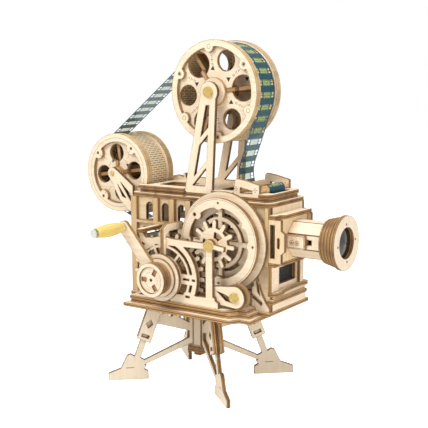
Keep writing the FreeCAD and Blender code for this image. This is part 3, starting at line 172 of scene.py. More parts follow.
def birch_ply():
    """Faces of pale birch with long fine grain, and cut edges with the browned layers of the ply.
    Depth through the sheet is |position along Across - Middle| - Start, in sheets. Char is 1 at the rim of a
    face, where the laser has browned it, and Gold lightens the cut edges, painted light for edges that the
    lamps catch."""
    tree, g, given, out = new_group(
        "Birch ply",
        {"Position": "vector", "Normal": "vector", "Across": "vector", "Middle": "value", "Start": "value",
         "Sheet": "value", "Stretch": "vector", "Pale": "colour", "Warm": "colour", "Burn": "value",
         "Gold": "value", "Char": "value"},
        {"Color": "colour", "Roughness": "value", "Height": "value", "Face": "value"})
    place, across = given["Position"], given["Across"]
    facing = g.math("ABSOLUTE", g.vector("DOT_PRODUCT", given["Normal"], across))
    face = g.between(facing, 0.6, 0.8)

    grain_place = g.vector("MULTIPLY", place, given["Stretch"])
    grain = g.noise(grain_place, 1.0, 5.0, 0.62)
    cloud = g.noise(place, 38.0, 2.0)
    fleck = g.between(g.noise(grain_place, 3.1, 1.0), 0.66, 0.74)
    tone = g.mix(g.between(grain, 0.34, 0.68, 0.08, 0.72), given["Pale"], given["Warm"])
    tone = g.mix(g.between(cloud, 0.4, 0.75, 0.0, 0.3), tone, linear(238, 214, 186))
    tone = g.mix(g.math("MULTIPLY", fleck, 0.18), tone, linear(196, 164, 118))
    tone = g.mix(given["Char"], tone, linear(104, 64, 30))

    along = g.vector("DOT_PRODUCT", place, across)
    depth = g.math("SUBTRACT", g.apart(along, given["Middle"]), given["Start"])
    depth = g.math("FRACT", g.math("DIVIDE", depth, given["Sheet"]))
    wander = g.math("MULTIPLY", g.math("SUBTRACT", g.noise(place, 260.0, 2.0), 0.5), 0.12)
    layers = g.ramp(g.math("ADD", depth, wander),
                    (0.00, linear(50, 28, 12)), (0.07, linear(92, 58, 28)), (0.15, linear(218, 178, 118)),
                    (0.29, linear(208, 166, 104)), (0.36, linear(86, 54, 26)), (0.46, linear(142, 94, 46)),
                    (0.57, linear(150, 100, 50)), (0.65, linear(80, 48, 22)), (0.72, linear(212, 172, 112)),
                    (0.87, linear(204, 162, 102)), (0.95, linear(88, 54, 26)), (1.00, linear(50, 28, 12)))
    flat = g.vector("SUBTRACT", place, g.scaled(across, along))
    scorch = g.noise(flat, 90.0, 3.0)
    tooth = g.noise(flat, 1500.0, 1.0)
    least = g.math("MULTIPLY", g.math("MULTIPLY", given["Burn"], given["Burn"]), 0.7)
    brown = g.between(scorch, 0.36, 0.66, least, given["Burn"])
    seam = g.between(g.apart(depth, 0.5), 0.41, 0.47)
    edge = g.mix(given["Gold"], layers, g.mix(seam, linear(226, 196, 146), SEAM))
    edge = g.mix(brown, edge, linear(58, 32, 12))
    edge = g.mix(g.between(tooth, 0.3, 0.7, 0.0, 0.2), edge, linear(120, 80, 42))
    height = g.math("ADD", g.math("MULTIPLY", grain, face), g.math("MULTIPLY", tooth, 0.6))

    tree.links.new(g.mix(face, edge, tone), out["Color"])
    tree.links.new(g.between(face, 0.0, 1.0, 0.78, 0.56), out["Roughness"])
    tree.links.new(height, out["Height"])
    tree.links.new(face, out["Face"])
    return tree


# How wide the soft rim of an engraved mark is
SOFT_RIM = 0.08 * MM


def ring_of_marks():
    """Marks on a circle across Y: the angle round the centre is folded into one of Count equal parts, and a
    mark is where the folded point lies within Wide along the circle and Deep across it."""
    tree, g, given, out = new_group(
        "Ring of marks",
        {"Position": "vector", "Centre": "vector", "Reach": "value", "Count": "value", "First": "value",
         "Wide": "value", "Deep": "value"},
        {"Mask": "value"})
    x, _, z = g.split(g.vector("SUBTRACT", given["Position"], given["Centre"]))
    radius = g.math("SQRT", g.math("ADD", g.math("MULTIPLY", x, x), g.math("MULTIPLY", z, z)))
    turn = g.math("DIVIDE", g.math("SUBTRACT", g.math("ARCTAN2", z, x), given["First"]), math.tau)
    turn = g.math("MULTIPLY", turn, given["Count"])
    folded = g.math("SUBTRACT", turn, g.math("ROUND", turn))
    arc = g.math("MULTIPLY", folded, g.math("MULTIPLY", given["Reach"], math.tau))
    aside = g.math("ABSOLUTE", g.math("DIVIDE", arc, given["Count"]))
    off = g.apart(radius, given["Reach"])
    wide = g.between(g.math("SUBTRACT", aside, given["Wide"]), 0.0, SOFT_RIM, 1.0, 0.0)
    deep = g.between(g.math("SUBTRACT", off, given["Deep"]), 0.0, SOFT_RIM, 1.0, 0.0)
    tree.links.new(g.math("MULTIPLY", wide, deep), out["Mask"])
    return tree


def triangle_mark():
    """A small dark triangle painted on a face across Y, as painted shade in a small hole through it. Its
    point lies
    Size from the centre in the direction Turn, and a place is inside where it lies on the inner side of all
    three edges."""
    tree, g, given, out = new_group(
        "Triangle mark", {"Position": "vector", "Centre": "vector", "Turn": "value", "Size": "value"},
        {"Mask": "value"})
    x, _, z = g.split(g.vector("SUBTRACT", given["Position"], given["Centre"]))
    inside = None
    for third in range(3):
        turn = g.math("ADD", given["Turn"], math.pi + third * math.tau / 3)
        beside = g.math("MULTIPLY", x, g.math("COSINE", turn))
        above = g.math("MULTIPLY", z, g.math("SINE", turn))
        room = g.math("SUBTRACT", g.math("MULTIPLY", given["Size"], 0.5), g.math("ADD", beside, above))
        inside = room if inside is None else g.math("MINIMUM", inside, room)
    tree.links.new(g.between(inside, -0.05 * MM, 0.05 * MM), out["Mask"])
    return tree


# The distance from one row of kerf cuts to the next, and two shifts that keep rows and cuts above zero
KERF_PITCH = 1.9 * MM
ROWS_PAST = 1000.0
CUTS_PAST = 20.0


def kerf_lines():
    """Short cuts along Y in rows round an axis across Y, which let ply bend. The row is the arc from the X
    axis over the pitch, and every second row is set off by half a cut."""
    tree, g, given, out = new_group(
        "Kerf lines", {"Position": "vector", "Centre": "vector", "Radius": "value", "Long": "value"},
        {"Mask": "value"})
    x, y, z = g.split(g.vector("SUBTRACT", given["Position"], given["Centre"]))
    arc = g.math("MULTIPLY", g.math("ARCTAN2", z, x), given["Radius"])
    rows = g.math("ADD", g.math("DIVIDE", arc, KERF_PITCH), ROWS_PAST)
    shift = g.math("MULTIPLY", g.math("MODULO", g.math("FLOOR", rows), 2.0), 0.5)
    cuts = g.math("ADD", g.math("DIVIDE", y, given["Long"]), g.math("ADD", shift, CUTS_PAST))
    long = g.between(g.apart(g.math("FRACT", cuts), 0.5), 0.38, 0.41, 1.0, 0.0)
    thin = g.between(g.apart(g.math("FRACT", rows), 0.5), 0.10, 0.15, 1.0, 0.0)
    tree.links.new(g.math("MULTIPLY", long, thin), out["Mask"])
    return tree


PLY = birch_ply()
MARKS = ring_of_marks()
TRIANGLE = triangle_mark()
KERFS = kerf_lines()


def material(name):
    """A new material: its graph, its shader, and the place and normal of the point that is shaded."""
    made = bpy.data.materials.new(name)
    graph = fresh_graph(made)
    shader = graph.node("ShaderNodeBsdfPrincipled", {})
    graph.node("ShaderNodeOutputMaterial", {0: shader.outputs[0]})
    coordinates = graph.node("ShaderNodeTexCoord", {})
    return made, graph, shader, coordinates.outputs["Object"], coordinates.outputs["Normal"]


def feed(graph, shader, **sources):
    graph.fill(shader, {name.replace("_", " "): source for name, source in sources.items()})


def bumped(graph, shader, height, distance, strength=0.35):
    bump = graph.node("ShaderNodeBump", {"Height": height, "Distance": distance, "Strength": strength})
    feed(graph, shader, Normal=bump.outputs[0])


def dress(node, finish):
    """The node's only material slot takes this finish."""
    slots = NODES[node].data.materials
    slots.clear()
    slots.append(finish)


X, Y, Z = (1.0, 0.0, 0.0), (0.0, 1.0, 0.0), (0.0, 0.0, 1.0)
GRAIN_X = (28.0, 420.0, 420.0)
GRAIN_Y = (420.0, 28.0, 420.0)
GRAIN_Z = (420.0, 420.0, 28.0)
PALE, WARM = linear(238, 221, 194), linear(220, 195, 160)
GREY = {"pale": linear(222, 208, 184), "warm": linear(212, 196, 170)}
INK = linear(104, 78, 50)
# Painted shade: the near-black that stands for the shade inside holes, slots and gaps
HOLE_SHADE = linear(30, 20, 12)

# A middle that lies far behind the part, so that depth grows one way through all of it
FAR_BACK = -1.0
CHAR_REACH = 1.1 * MM


def inside_box(g, parts, low, high):
    """1 where a place lies between two corners."""
    mask = None
    for part, first, last in zip(parts, low, high):
        within = g.within(part, first, last)
        mask = within if mask is None else g.math("MULTIPLY", mask, within)
    return mask


def ply(name, across, start, stretch=GRAIN_X, middle=FAR_BACK, sheet=SHEET, pale=PALE, warm=WARM, burn=0.5,
        gold=0.0, zones=(), marks=(), triangles=(), kerfs=None, spots=(), layout=None):
    """A finish of birch ply. Start is where the first sheet begins along the axis across it: the same on both
    sides of middle where one is given, and otherwise a place in the frame.
    Zones (coordinate, low, high, axis, start) have another axis. Marks are rings of engraved ticks:
    (centre, reach, count, first angle, half width, half depth). Triangles are (centre, way they point, size),
    painted near-black as shade in small holes.
    Kerfs are (centre, radius, length of a cut, colour between cuts). Spots are (low corner, high corner,
    colour). Layout, where given, works out the axis and the middle from the place. Gold may be the centre and
    radius of a wheel whose outer edge alone is painted pale, as painted light on the rim that the lamps
    catch."""
    made, g, shader, place, normal = material(name)
    if middle == FAR_BACK:
        start = start - FAR_BACK
    parts = g.split(place)
    for coordinate, low, high, axis, other in zones:
        past = g.within(parts["XYZ".index(coordinate)], low, high)
        across = g.choose(past, across, axis)
        start = g.node("ShaderNodeMix", {0: past, 2: start, 3: other - FAR_BACK}).outputs[0]
    if layout:
        across, middle = layout(g, place)
    bevel = g.node("ShaderNodeBevel", {"Radius": CHAR_REACH}, samples=6).outputs[0]
    plain_normal = g.node("ShaderNodeNewGeometry", {}).outputs["Normal"]
    char = g.between(g.vector("DOT_PRODUCT", bevel, plain_normal), 0.84, 0.99, 1.0, 0.0)
    # Painted light: the outer rim edge of a wheel is painted pale gold, for the rim that the lamps catch
    if isinstance(gold, tuple):
        centre, rim = gold
        off_axis = g.vector("MULTIPLY", g.vector("SUBTRACT", place, centre), (1.0, 0.0, 1.0))
        gold = g.between(g.vector("LENGTH", off_axis), rim - 1.2 * MM, rim - 0.6 * MM, 0.1, 0.85)
    wood = g.use(PLY, Position=place, Normal=normal, Across=across, Middle=middle, Start=start, Sheet=sheet,
                 Stretch=stretch, Pale=pale, Warm=warm, Burn=burn, Gold=gold, Char=char)
    colour = wood["Color"]
    for centre, reach, count, first, wide, deep in marks:
        ring = g.use(MARKS, Position=place, Centre=centre, Reach=reach, Count=float(count), First=first,
                     Wide=wide, Deep=deep)
        colour = g.mix(g.math("MULTIPLY", ring["Mask"], wood["Face"]), colour, INK)
    # Painted shade: each triangle is near-black, for the shade inside a small hole
    for centre, turn, size in triangles:
        hole_shade_mask = g.use(TRIANGLE, Position=place, Centre=centre, Turn=turn, Size=size)
        colour = g.mix(g.math("MULTIPLY", hole_shade_mask["Mask"], wood["Face"]), colour, HOLE_SHADE)
    for low, high, tint in spots:
        colour = g.mix(inside_box(g, parts, low, high), colour, tint)
    height = wood["Height"]
    if kerfs:
        centre, radius, long, tint = kerfs
        cuts = g.use(KERFS, Position=place, Centre=centre, Radius=radius, Long=long)
        flank = g.math("SUBTRACT", 1.0, wood["Face"])
        ribbed = g.mix(0.9, colour, tint)
        colour = g.mix(flank, colour, g.mix(cuts["Mask"], ribbed, linear(72, 46, 22)))
        height = g.math("SUBTRACT", height, g.math("MULTIPLY", cuts["Mask"], 3.0))
    feed(g, shader, Base_Color=colour, Roughness=wood["Roughness"])
    bumped(g, shader, height, 0.05 * MM)
    return made


def circle(centre, radius, half):
    """An engraved line all the way round, as one mark that is wider than the ring is long."""
    return (centre, radius, 1, 0.0, 1.0, half)


def at(x, y, z):
    """A place written from the middle of the body box, in millimetres, as a point of the frame."""
    return (BODY_X + x * MM, BODY_Y + y * MM, z * MM)


def x_start(x):
    return BODY_X + x * MM


def y_start(y):
    return BODY_Y + y * MM


def round_axis(centre, reach, angle, y=0.0):
    """A point at a distance and an angle, in millimetres and degrees, round an axis across the plates."""
    turn = math.radians(angle)
    return (centre[0] + reach * MM * math.cos(turn), y_start(y), centre[2] + reach * MM * math.sin(turn))


# Finishes of the plates

def joint_place(name):
    return tuple(JOINTS[name]["pos_m"])


UPPER, LOWER = joint_place("upper_reel_spin"), joint_place("takeup_reel_spin")
CRANK, WHEEL = joint_place("crank_spin"), joint_place("flywheel_spin")
GUIDE, FRONT = joint_place("guide_roller_spin"), joint_place("front_roller_spin")
IDLER = joint_place("idler_roller_spin")

# Painted shadow gaps where the tower's tabs end in slots in the near edge of the roof, in millimetres: left,
# width and bottom
TAB_GAP_SHADOWS = ((-1.4, 2.2, 156), (17.6, 2.2, 156), (20.6, 1.4, 153), (-30.4, 1.6, 156))
# The stars on the near guide plate, in millimetres: x and z
STARS = ((47.8, 165.2), (65.1, 164.9))


def dress_plates():
    dress("near_wall", ply("wall ply", Y, y_start(-26), burn=1.0, pale=linear(230, 208, 170),
                           warm=linear(208, 178, 134)))
    dress("far_wall", ply("far wall ply", Y, y_start(23), burn=0.6))
    # Painted shade: the window strips' faces are a browner ply tone, for the shade that falls on them between
    # the windows
    dress("pilasters", ply("window strip ply", Y, 26 * MM, GRAIN_Z, middle=BODY_Y, burn=0.3,
                           pale=linear(206, 174, 126), warm=linear(180, 142, 92)))
    for node, start in (("rear_wall", -54), ("front_wall", 77), ("film_gate", 74)):
        dress(node, ply(node.replace("_", " ") + " ply", X, x_start(start), GRAIN_Z))
    deck = ply("deck ply", Z, 66.3 * MM, burn=0.2)
    for node in ("deck_lower", "deck_base", "deck_upper"):
        dress(node, deck)
    # Painted shadow: the tab gaps are near-black boxes on the roof
    tab_gap_shadows = tuple((at(left, -31, low), at(left + wide, -24.5, low + 3), HOLE_SHADE)
                     for left, wide, low in TAB_GAP_SHADOWS)
    roof = ply("cornice ply", Z, 153 * MM, burn=0.7, spots=tab_gap_shadows)
    for node in ("cornice_lower", "cornice_middle", "cornice_upper"):
        dress(node, roof)
    dress("tower_near", ply("near tower ply", Y, y_start(-24), GRAIN_Z, burn=1.0))
    dress("tower_far", ply("far tower ply", Y, y_start(21), GRAIN_Z, burn=0.85))
    dress("takeup_arms", ply("take-up arm ply", Y, 21 * MM, middle=BODY_Y, burn=1.0))
    stars = tuple((at(x, -24, z), 0.85 * MM, 4, 0.0, 0.16 * MM, 0.85 * MM) for x, z in STARS)
    dress("guide_plates", ply("guide plate ply", Y, 21 * MM, middle=BODY_Y, marks=stars))
    gear = ply("gear ply", Y, y_start(-45), burn=1.0)
    dress("crank_gear", gear)
    dress("pinion", gear)
    dress("bearing_bracket", ply("bracket ply", Y, y_start(-51), burn=0.8))
    dress("idler_arm", ply("idler arm ply", Y, y_start(-48), burn=1.0))
    post_and_tie = (("X", x_start(-15), x_start(30), X, x_start(-3.4)),
                    ("X", x_start(30), x_start(99), Y, y_start(-29)))
    dress("bracket_stays", ply("stay ply", Z, 128 * MM, GRAIN_Y, burn=0.4, zones=post_and_tie))
    dress("crank_arm", ply("crank arm ply", Y, y_start(-61.5), burn=0.4))
    # Painted shade: the floors of the drum's recessed slots are painted brown and its centre hole near-black,
    # for the shade inside them
    slot_floor_shade = (at(-16, -67.2, 80), at(10, -66.7, 110), linear(168, 122, 76))
    hole_floor_shade = (at(-4.1, -67.0, 93.5), at(-1.5, -66.4, 96.1), HOLE_SHADE)
    ticks = (CRANK, 6.2 * MM, 22, 0.1, 0.14 * MM, 0.45 * MM)
    dress("crank_drum", ply("crank drum ply", Y, y_start(-69), burn=0.8, marks=(ticks,),
                            spots=(slot_floor_shade, hole_floor_shade)))
    dress("drive_roller", ply("drive roller ply", Y, y_start(-12.8)))
    dress("flywheel_rim", ply("flywheel back ply", Y, y_start(-32.4), burn=0.75))
    dress("flywheel_front", ply("flywheel front ply", Y, y_start(-38.4), burn=0.55,
                                marks=(circle(WHEEL, 33.9 * MM, 0.1 * MM),)))


# From the middle plane of a reel to the inner and the outer faces of its sides; the second is in millimetres
REEL_SIDE = 11.8 * MM
REEL_FACE = 17.8
# The turns of the two reels at rest, in degrees, as their pin circles and spokes show them
UPPER_TURN = 36.6
LOWER_TURN = 53.0
# The spokes engraved on the upper reel, in millimetres: distance from its axle and half width
SPOKES = ((21.0, 0.9), (22.2, 0.9), (24.0, 0.5), (25.2, 1.0), (27.0, 0.7), (28.2, 0.4))
# The dark triangles painted on the upper reel, as shade in small holes: distance and angle round its axle,
# and the way each one points
REEL_TRIANGLES = ((16.0, 38.7, -90.0), (17.0, -28.3, 90.0), (18.7, 161.0, -90.0), (18.6, -118.0, 30.0),
                  (18.2, 97.0, 200.0))


def reel_ply(name, **look):
    """A finish for a piece of a reel, with its sheets the same on both sides of the middle plane."""
    return ply(name, Y, REEL_SIDE, middle=BODY_Y, **look)


def dress_reels():
    spokes = tuple((UPPER, reach * MM, 6, math.radians(UPPER_TURN), wide * MM, 0.2 * MM)
                   for reach, wide in SPOKES)
    pin_circles = tuple(circle(round_axis(UPPER, 35.3, UPPER_TURN + 60 * sixth), 1.6 * MM, 0.14 * MM)
                        for sixth in range(6))
    triangles = tuple((round_axis(UPPER, reach, angle), math.radians(turn), 2.4 * MM)
                      for reach, angle, turn in REEL_TRIANGLES)
    dress("upper_reel_flanges", reel_ply("upper reel side ply", burn=0.35, gold=(UPPER, 40.3 * MM),
                                         marks=spokes + pin_circles, triangles=triangles))
    rings = (circle(LOWER, 29.6 * MM, 0.09 * MM), (LOWER, 12.4 * MM, 60, 0.02, 0.12 * MM, 0.5 * MM),
             (LOWER, 20.0 * MM, 4, math.radians(LOWER_TURN), 0.12 * MM, 4.0 * MM))
    # Painted shade: three dark triangles on the take-up reel, for small holes
    points = tuple((round_axis(LOWER, 11.4, angle), math.radians(angle), 1.8 * MM)
                   for angle in (36, 126, 306))
    dress("takeup_reel_flanges", reel_ply("take-up reel side ply", burn=0.35, gold=(LOWER, 33.4 * MM),
                                          marks=rings, triangles=points))
    for name, centre, radius, tint in (("upper_reel", UPPER, 38.0, linear(246, 218, 168)),
                                       ("takeup_reel", LOWER, 30.5, linear(240, 220, 182))):
        words = name.replace("_", " ")
        kerfs = ((centre[0], BODY_Y, centre[2]), radius * MM, 6.4 * MM, tint)
        dress(name + "_drum", reel_ply(words + " drum ply", stretch=GRAIN_Y, burn=0.1, kerfs=kerfs))
        dress(name + "_hub", reel_ply(words + " core ply", burn=0.2, gold=0.3))
        dress(name + "_keys", reel_ply(words + " key ply", burn=0.6, pale=linear(172, 132, 84),
                                       warm=linear(142, 102, 60)))


# The height of the lens axis, the front of the label plate and its two pins, in millimetres from the body box
LENS_HEIGHT = 127
LABEL_FRONT = -17
LABEL_PINS = ((93.4, LABEL_FRONT, 126.2), (98.0, LABEL_FRONT, 126.2))
# A point on the lens axis, the back of the label plate seen from it, and the turn from one side to the next
LENS_AXIS = at(0, 0, LENS_HEIGHT)
LABEL_BACK = -14.05 * MM
EIGHTH = math.tau / 8


def eight_sided(g, place):
    """The axis across the nearest of the tube's eight sides: its angle is the place's own, rounded to an
    eighth of a turn. On the label plate in front of the tube it is Y."""
    _, y, z = g.split(g.vector("SUBTRACT", place, LENS_AXIS))
    turn = g.math("ROUND", g.math("DIVIDE", g.math("ARCTAN2", z, y), EIGHTH))
    turn = g.math("MULTIPLY", turn, EIGHTH)
    side = g.join(0.0, g.math("COSINE", turn), g.math("SINE", turn))
    across = g.choose(g.math("LESS_THAN", y, LABEL_BACK), side, Y)
    return across, g.vector("DOT_PRODUCT", across, LENS_AXIS)


def dress_lens():
    side_plates = (("Y", y_start(-29.1), y_start(-25.99), Y, y_start(-29)),
                   ("Y", y_start(17.39), y_start(20.5), Y, y_start(17.4)))
    # Painted shade: the housing's faces are darker and warmer than the other ply, for the brown shade in its
    # crevices
    dress("lens_housing", ply("lens housing ply", X, x_start(85), GRAIN_Z, burn=0.8,
                              pale=linear(228, 204, 164), warm=linear(206, 174, 130), zones=side_plates))
    lower_shelf = ("Z", 0.0, 0.12, Z, 108 * MM)
    dress("lens_shelves", ply("lens shelf ply", Z, 144.5 * MM, GRAIN_Y, zones=(lower_shelf,)))
    ledges = (("Z", 84.9 * MM, 88.1 * MM, Z, 85 * MM), ("Z", 78.9 * MM, 82.1 * MM, Z, 79 * MM))
    dress("front_ledges", ply("front ledge ply", X, x_start(80), GRAIN_Y, zones=ledges))
    dress("lens_tube", tube_ply())
    dress("focus_barrel", ply("focus barrel ply", X, x_start(116.4), GRAIN_Z, sheet=2.9 * MM, burn=0.6,
                              warm=linear(222, 204, 176)))


def tube_ply():
    """The tube's ply, with a dark seam where two sides meet. The label plate has a border line, rings round
    its pins and fine dots."""
    rings = tuple(circle(at(*pin), 1.75 * MM, 0.16 * MM) for pin in LABEL_PINS)
    finish = ply("lens tube ply", X, 11.0 * MM, middle=0.0, burn=0.3, marks=rings, layout=eight_sided)
    g = Graph(finish.node_tree)
    shader = next(node for node in finish.node_tree.nodes if node.type == "BSDF_PRINCIPLED")
    wood = shader.inputs["Base Color"].links[0].from_socket
    place = g.node("ShaderNodeTexCoord", {}).outputs["Object"]
    _, y, z = g.split(g.vector("SUBTRACT", place, LENS_AXIS))
    eighths = g.math("ADD", g.math("DIVIDE", g.math("ARCTAN2", z, y), EIGHTH), 8.0)
    from_seam = g.apart(g.math("FRACT", eighths), 0.5)
    tube = g.math("GREATER_THAN", y, LABEL_BACK)
    seam = g.math("MULTIPLY", g.between(from_seam, 0.035, 0.055, 1.0, 0.0), tube)
    cells = g.node("ShaderNodeTexVoronoi", {"Vector": place, "Scale": 900.0}).outputs["Distance"]
    dots = g.math("MULTIPLY", g.between(cells, 0.24, 0.3, 0.6, 0.0), g.math("SUBTRACT", 1.0, tube))
    parts = g.split(place)
    outer = inside_box(g, parts, at(89.7, -17.2, 122.3), at(103.9, -16.8, 131.7))
    inner = inside_box(g, parts, at(90.1, -17.2, 122.7), at(103.5, -16.8, 131.3))
    border = g.math("SUBTRACT", outer, inner)
    label = g.mix(border, g.mix(dots, wood, INK), INK)
    feed(g, shader, Base_Color=g.mix(seam, label, SEAM))
    return finish


LEG_TURNS = {"right": LEG_ANGLE, "rear": math.pi - LEG_ANGLE, "left": math.pi + LEG_ANGLE,
             "front": -FRONT_LEG_ANGLE}


def leg_across(side):
    return (-math.sin(LEG_TURNS[side]), math.cos(LEG_TURNS[side]), 0.0)


def leg_sides(g, place):
    """The axis across the leg that a place belongs to, from the quarter of the stand that it lies in."""
    stand = (BODY_X, STAND_Y, 0.0)
    x, y, _ = g.split(g.vector("SUBTRACT", place, stand))
    same = g.math("GREATER_THAN", g.math("MULTIPLY", x, y), 0.0)
    ahead = g.math("GREATER_THAN", x, 0.0)
    right, rear, front = (leg_across(side) for side in ("right", "rear", "front"))
    across = g.choose(same, g.choose(ahead, rear, front), right)
    return across, g.vector("DOT_PRODUCT", across, stand)


def dress_stand():
    for side, turn in LEG_TURNS.items():
        across = leg_across(side)
        middle = across[0] * BODY_X + across[1] * STAND_Y
        slit = BODY_X + 59 * MM * math.cos(turn)
        cut = ((slit - 2.6 * MM, -1.0, 9.9 * MM), (slit + 2.6 * MM, 1.0, 10.5 * MM), INK)
        dress("leg_" + side, ply(side + " leg ply", across, middle - SHEET / 2, GRAIN_Z, burn=0.75,
                                 spots=(cut,), **GREY))
    dress("leg_cheeks", ply("cheek ply", Y, SHEET / 2, GRAIN_Z, middle=0.0, burn=0.4, layout=leg_sides,
                            **GREY))
    walls = (("X", x_start(3.1), x_start(6.3), X, x_start(3.2)),
             ("X", x_start(-3.2), x_start(3.2), Y, STAND_Y - 6.2 * MM))
    dress("stand_column", ply("column ply", X, x_start(-6.2), GRAIN_Z, burn=0.5, zones=walls, **GREY))
    dress("stand_collar", ply("collar ply", Z, 22.5 * MM, burn=0.7, **GREY))


# Other finishes

def dowel(name, pale, dark):
    made, g, shader, place, _ = material(name)
    grain = g.noise(g.vector("MULTIPLY", place, (700.0, 40.0, 700.0)), 1.0, 4.0)
    feed(g, shader, Base_Color=g.mix(grain, pale, dark), Roughness=0.55)
    bumped(g, shader, grain, 0.04 * MM)
    return made


def yellow_paint(name, deep, pale):
    """Wood stained yellow, with the grain showing through."""
    made, g, shader, place, _ = material(name)
    grain = g.noise(g.vector("MULTIPLY", place, (900.0, 60.0, 900.0)), 1.0, 4.0)
    feed(g, shader, Base_Color=g.mix(g.between(grain, 0.35, 0.7), pale, deep), Roughness=0.42)
    bumped(g, shader, grain, 0.03 * MM, 0.25)
    return made


def plain(name, colour, roughness, speck, metallic=0.0):
    """One colour with faint clouds. Speck is how much darker the clouds are."""
    made, g, shader, place, _ = material(name)
    cloud = g.noise(place, 320.0, 3.0)
    dark = tuple(part * (1.0 - speck) for part in colour[:3]) + (1.0,)
    feed(g, shader, Base_Color=g.mix(cloud, colour, dark), Metallic=metallic,
         Roughness=g.between(cloud, 0.2, 0.8, roughness * 0.85, roughness * 1.15))
    bumped(g, shader, cloud, 0.02 * MM, 0.2)
    return made


def lens_glass():
    """Dark glass with a brown cast and a soft coat."""
    made, g, shader, place, _ = material("lens glass")
    tint = g.mix(g.noise(place, 90.0, 2.0), linear(40, 28, 20), linear(20, 14, 10))
    feed(g, shader, Base_Color=tint, Roughness=0.12, Specular_IOR_Level=0.25, Coat_Weight=0.25,
         Coat_Roughness=0.04)
    return made


def dress_rest():
    beech = dowel("dowel", linear(214, 184, 138), linear(186, 148, 98))
    for node in ("crank_shaft", "flywheel_shaft", "reel_axles", "guide_roller", "front_roller"):
        dress(node, beech)
    dress("idler_roller", dowel("lower roller wood", linear(164, 130, 88), linear(134, 100, 62)))
    dress("handle_grip", yellow_paint("yellow handle", linear(216, 184, 92), linear(228, 204, 122)))
    dress("axle_caps", yellow_paint("yellow cap", linear(168, 136, 62), linear(198, 170, 98)))
    dress("handle_pin", plain("brushed pin steel", linear(196, 194, 188), 0.3, 0.2, metallic=1.0))
    dress("lens_glass", lens_glass())
    dress("front_pane", plain("black pane", linear(12, 10, 8), 0.8, 0.3))
    dress("battery_box", plain("battery case black", linear(34, 34, 36), 0.5, 0.2))
    dress("lamp", plain("lamp white", linear(226, 222, 210), 0.45, 0.05))


# Small heads and pins

NEAR = (0.0, -1.0, 0.0)
# A head's arc in degrees from its rim to its top, with one ring more, sunk below the face
HEAD_ARC = (0.0, 0.0, 25.0, 50.0, 72.0, 84.0)
HEAD_SUNK = -0.15 * MM


def add_object(name, data):
    made = bpy.data.objects.new(name, data)
    bpy.context.scene.collection.objects.link(made)
    return made


def heads(name, body, finish, spots, radius, height):
    """Domed heads of wooden pins, one on each spot (centre, way out). A head is an arc turned round its way
    out: at each step of the arc the ring lies radius times the cosine from the axis and height times the sine
    out of the face."""
    steps = np.radians(HEAD_ARC)
    reach = radius * np.cos(steps)
    lift = height * np.sin(steps)
    lift[0] = HEAD_SUNK
    turns = np.linspace(0.0, math.tau, 20, endpoint=False)
    centres = np.array([centre for centre, _ in spots])
    ways = np.array([way for _, way in spots])
    helper = np.where(np.abs(ways[:, [2]]) < 0.5, Z, X)
    side = np.cross(helper, ways)
    side = side / np.linalg.norm(side, axis=1, keepdims=True)
    other = np.cross(ways, side)
    ring = (side[:, None, :] * np.cos(turns)[None, :, None]
            + other[:, None, :] * np.sin(turns)[None, :, None])
    points = (centres[:, None, None, :] + ring[:, None, :, :] * reach[None, :, None, None]
              + ways[:, None, None, :] * lift[None, :, None, None])
    count, rings, around = len(spots), len(steps), len(turns)
    base, step, turn = np.meshgrid(np.arange(count), np.arange(rings - 1), np.arange(around), indexing="ij")
    low = (base * rings + step) * around
    high = low + around
    following = (turn + 1) % around
    quads = np.stack([low + turn, low + following, high + following, high + turn], axis=-1)
    tops = ((np.arange(count) + 1) * rings - 1)[:, None] * around + np.arange(around)[None, :]
    mesh = bpy.data.meshes.new(name)
    mesh.from_pydata(points.reshape(-1, 3).tolist(), [], quads.reshape(-1, 4).tolist() + tops.tolist())
    mesh.materials.append(finish)
    mesh.update()
    made = add_object(name, mesh)
    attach(made, body)


def both_sides(centre, reach, angles):
    """Spots on the near and far faces of a reel."""
    return [(round_axis(centre, reach, angle, way * REEL_FACE), (0.0, float(way), 0.0))
            for angle in angles for way in (-1, 1)]


def small_heads():
    dark = plain("burnt pin ends", linear(96, 68, 40), 0.5, 0.5)
    upper_spots = both_sides(UPPER, 35.4, [UPPER_TURN + 120 * third for third in range(3)])
    heads("upper_reel_pins", "upper_reel", dark, upper_spots, 1.15 * MM, 0.35 * MM)
    lower_spots = both_sides(LOWER, 26.6, [LOWER_TURN + 90 * quarter for quarter in range(4)])
    heads("takeup_reel_pins", "takeup_reel", dark, lower_spots, 1.3 * MM, 0.35 * MM)
    wheel_spots = [(round_axis(WHEEL, 31.4, angle, -38.4), NEAR) for angle in (0, 90, 270)]
    heads("flywheel_pins", "flywheel", dark, wheel_spots, 1.0 * MM, 0.35 * MM)
    flange_spots = [(at(131.0, 14.4 * math.cos(turn), LENS_HEIGHT + 14.4 * math.sin(turn)), X)
                    for turn in np.radians([4.0, 94.0, 184.0, 274.0])]
    heads("lens_flange_pins", "focus", dark, flange_spots, 0.95 * MM, 0.3 * MM)
    heads("label_pins", "base", plain("pin wood", linear(168, 128, 84), 0.5, 0.3),
          [(at(*pin), NEAR) for pin in LABEL_PINS], 0.95 * MM, 0.3 * MM)


# Film

FILM_HALF = 11.2 * MM
FILM_THICK = 0.18 * MM
# From the face of a wheel to the middle of the film
FILM_OFF = 0.45 * MM
FRAME_PITCH = 9.6 * MM
PATH_STEP = 0.8 * MM
# Rows of cells in one frame. In the first half of them each run of HOLE_ROWS is a hole and a bar of one row.
CELLS = 24
HOLE_ROWS = 6
# The edges of the columns of cells, from the middle of the film, and the columns that have holes
LEVELS = np.array([-11.2, -9.9, -6.5, -5.5, 0.0, 5.5, 6.5, 9.9, 11.2]) * MM
HOLE_COLUMNS = (1, 6)


def radius_of(node):
    low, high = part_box(node)
    return (high[2] - low[2]) / 2


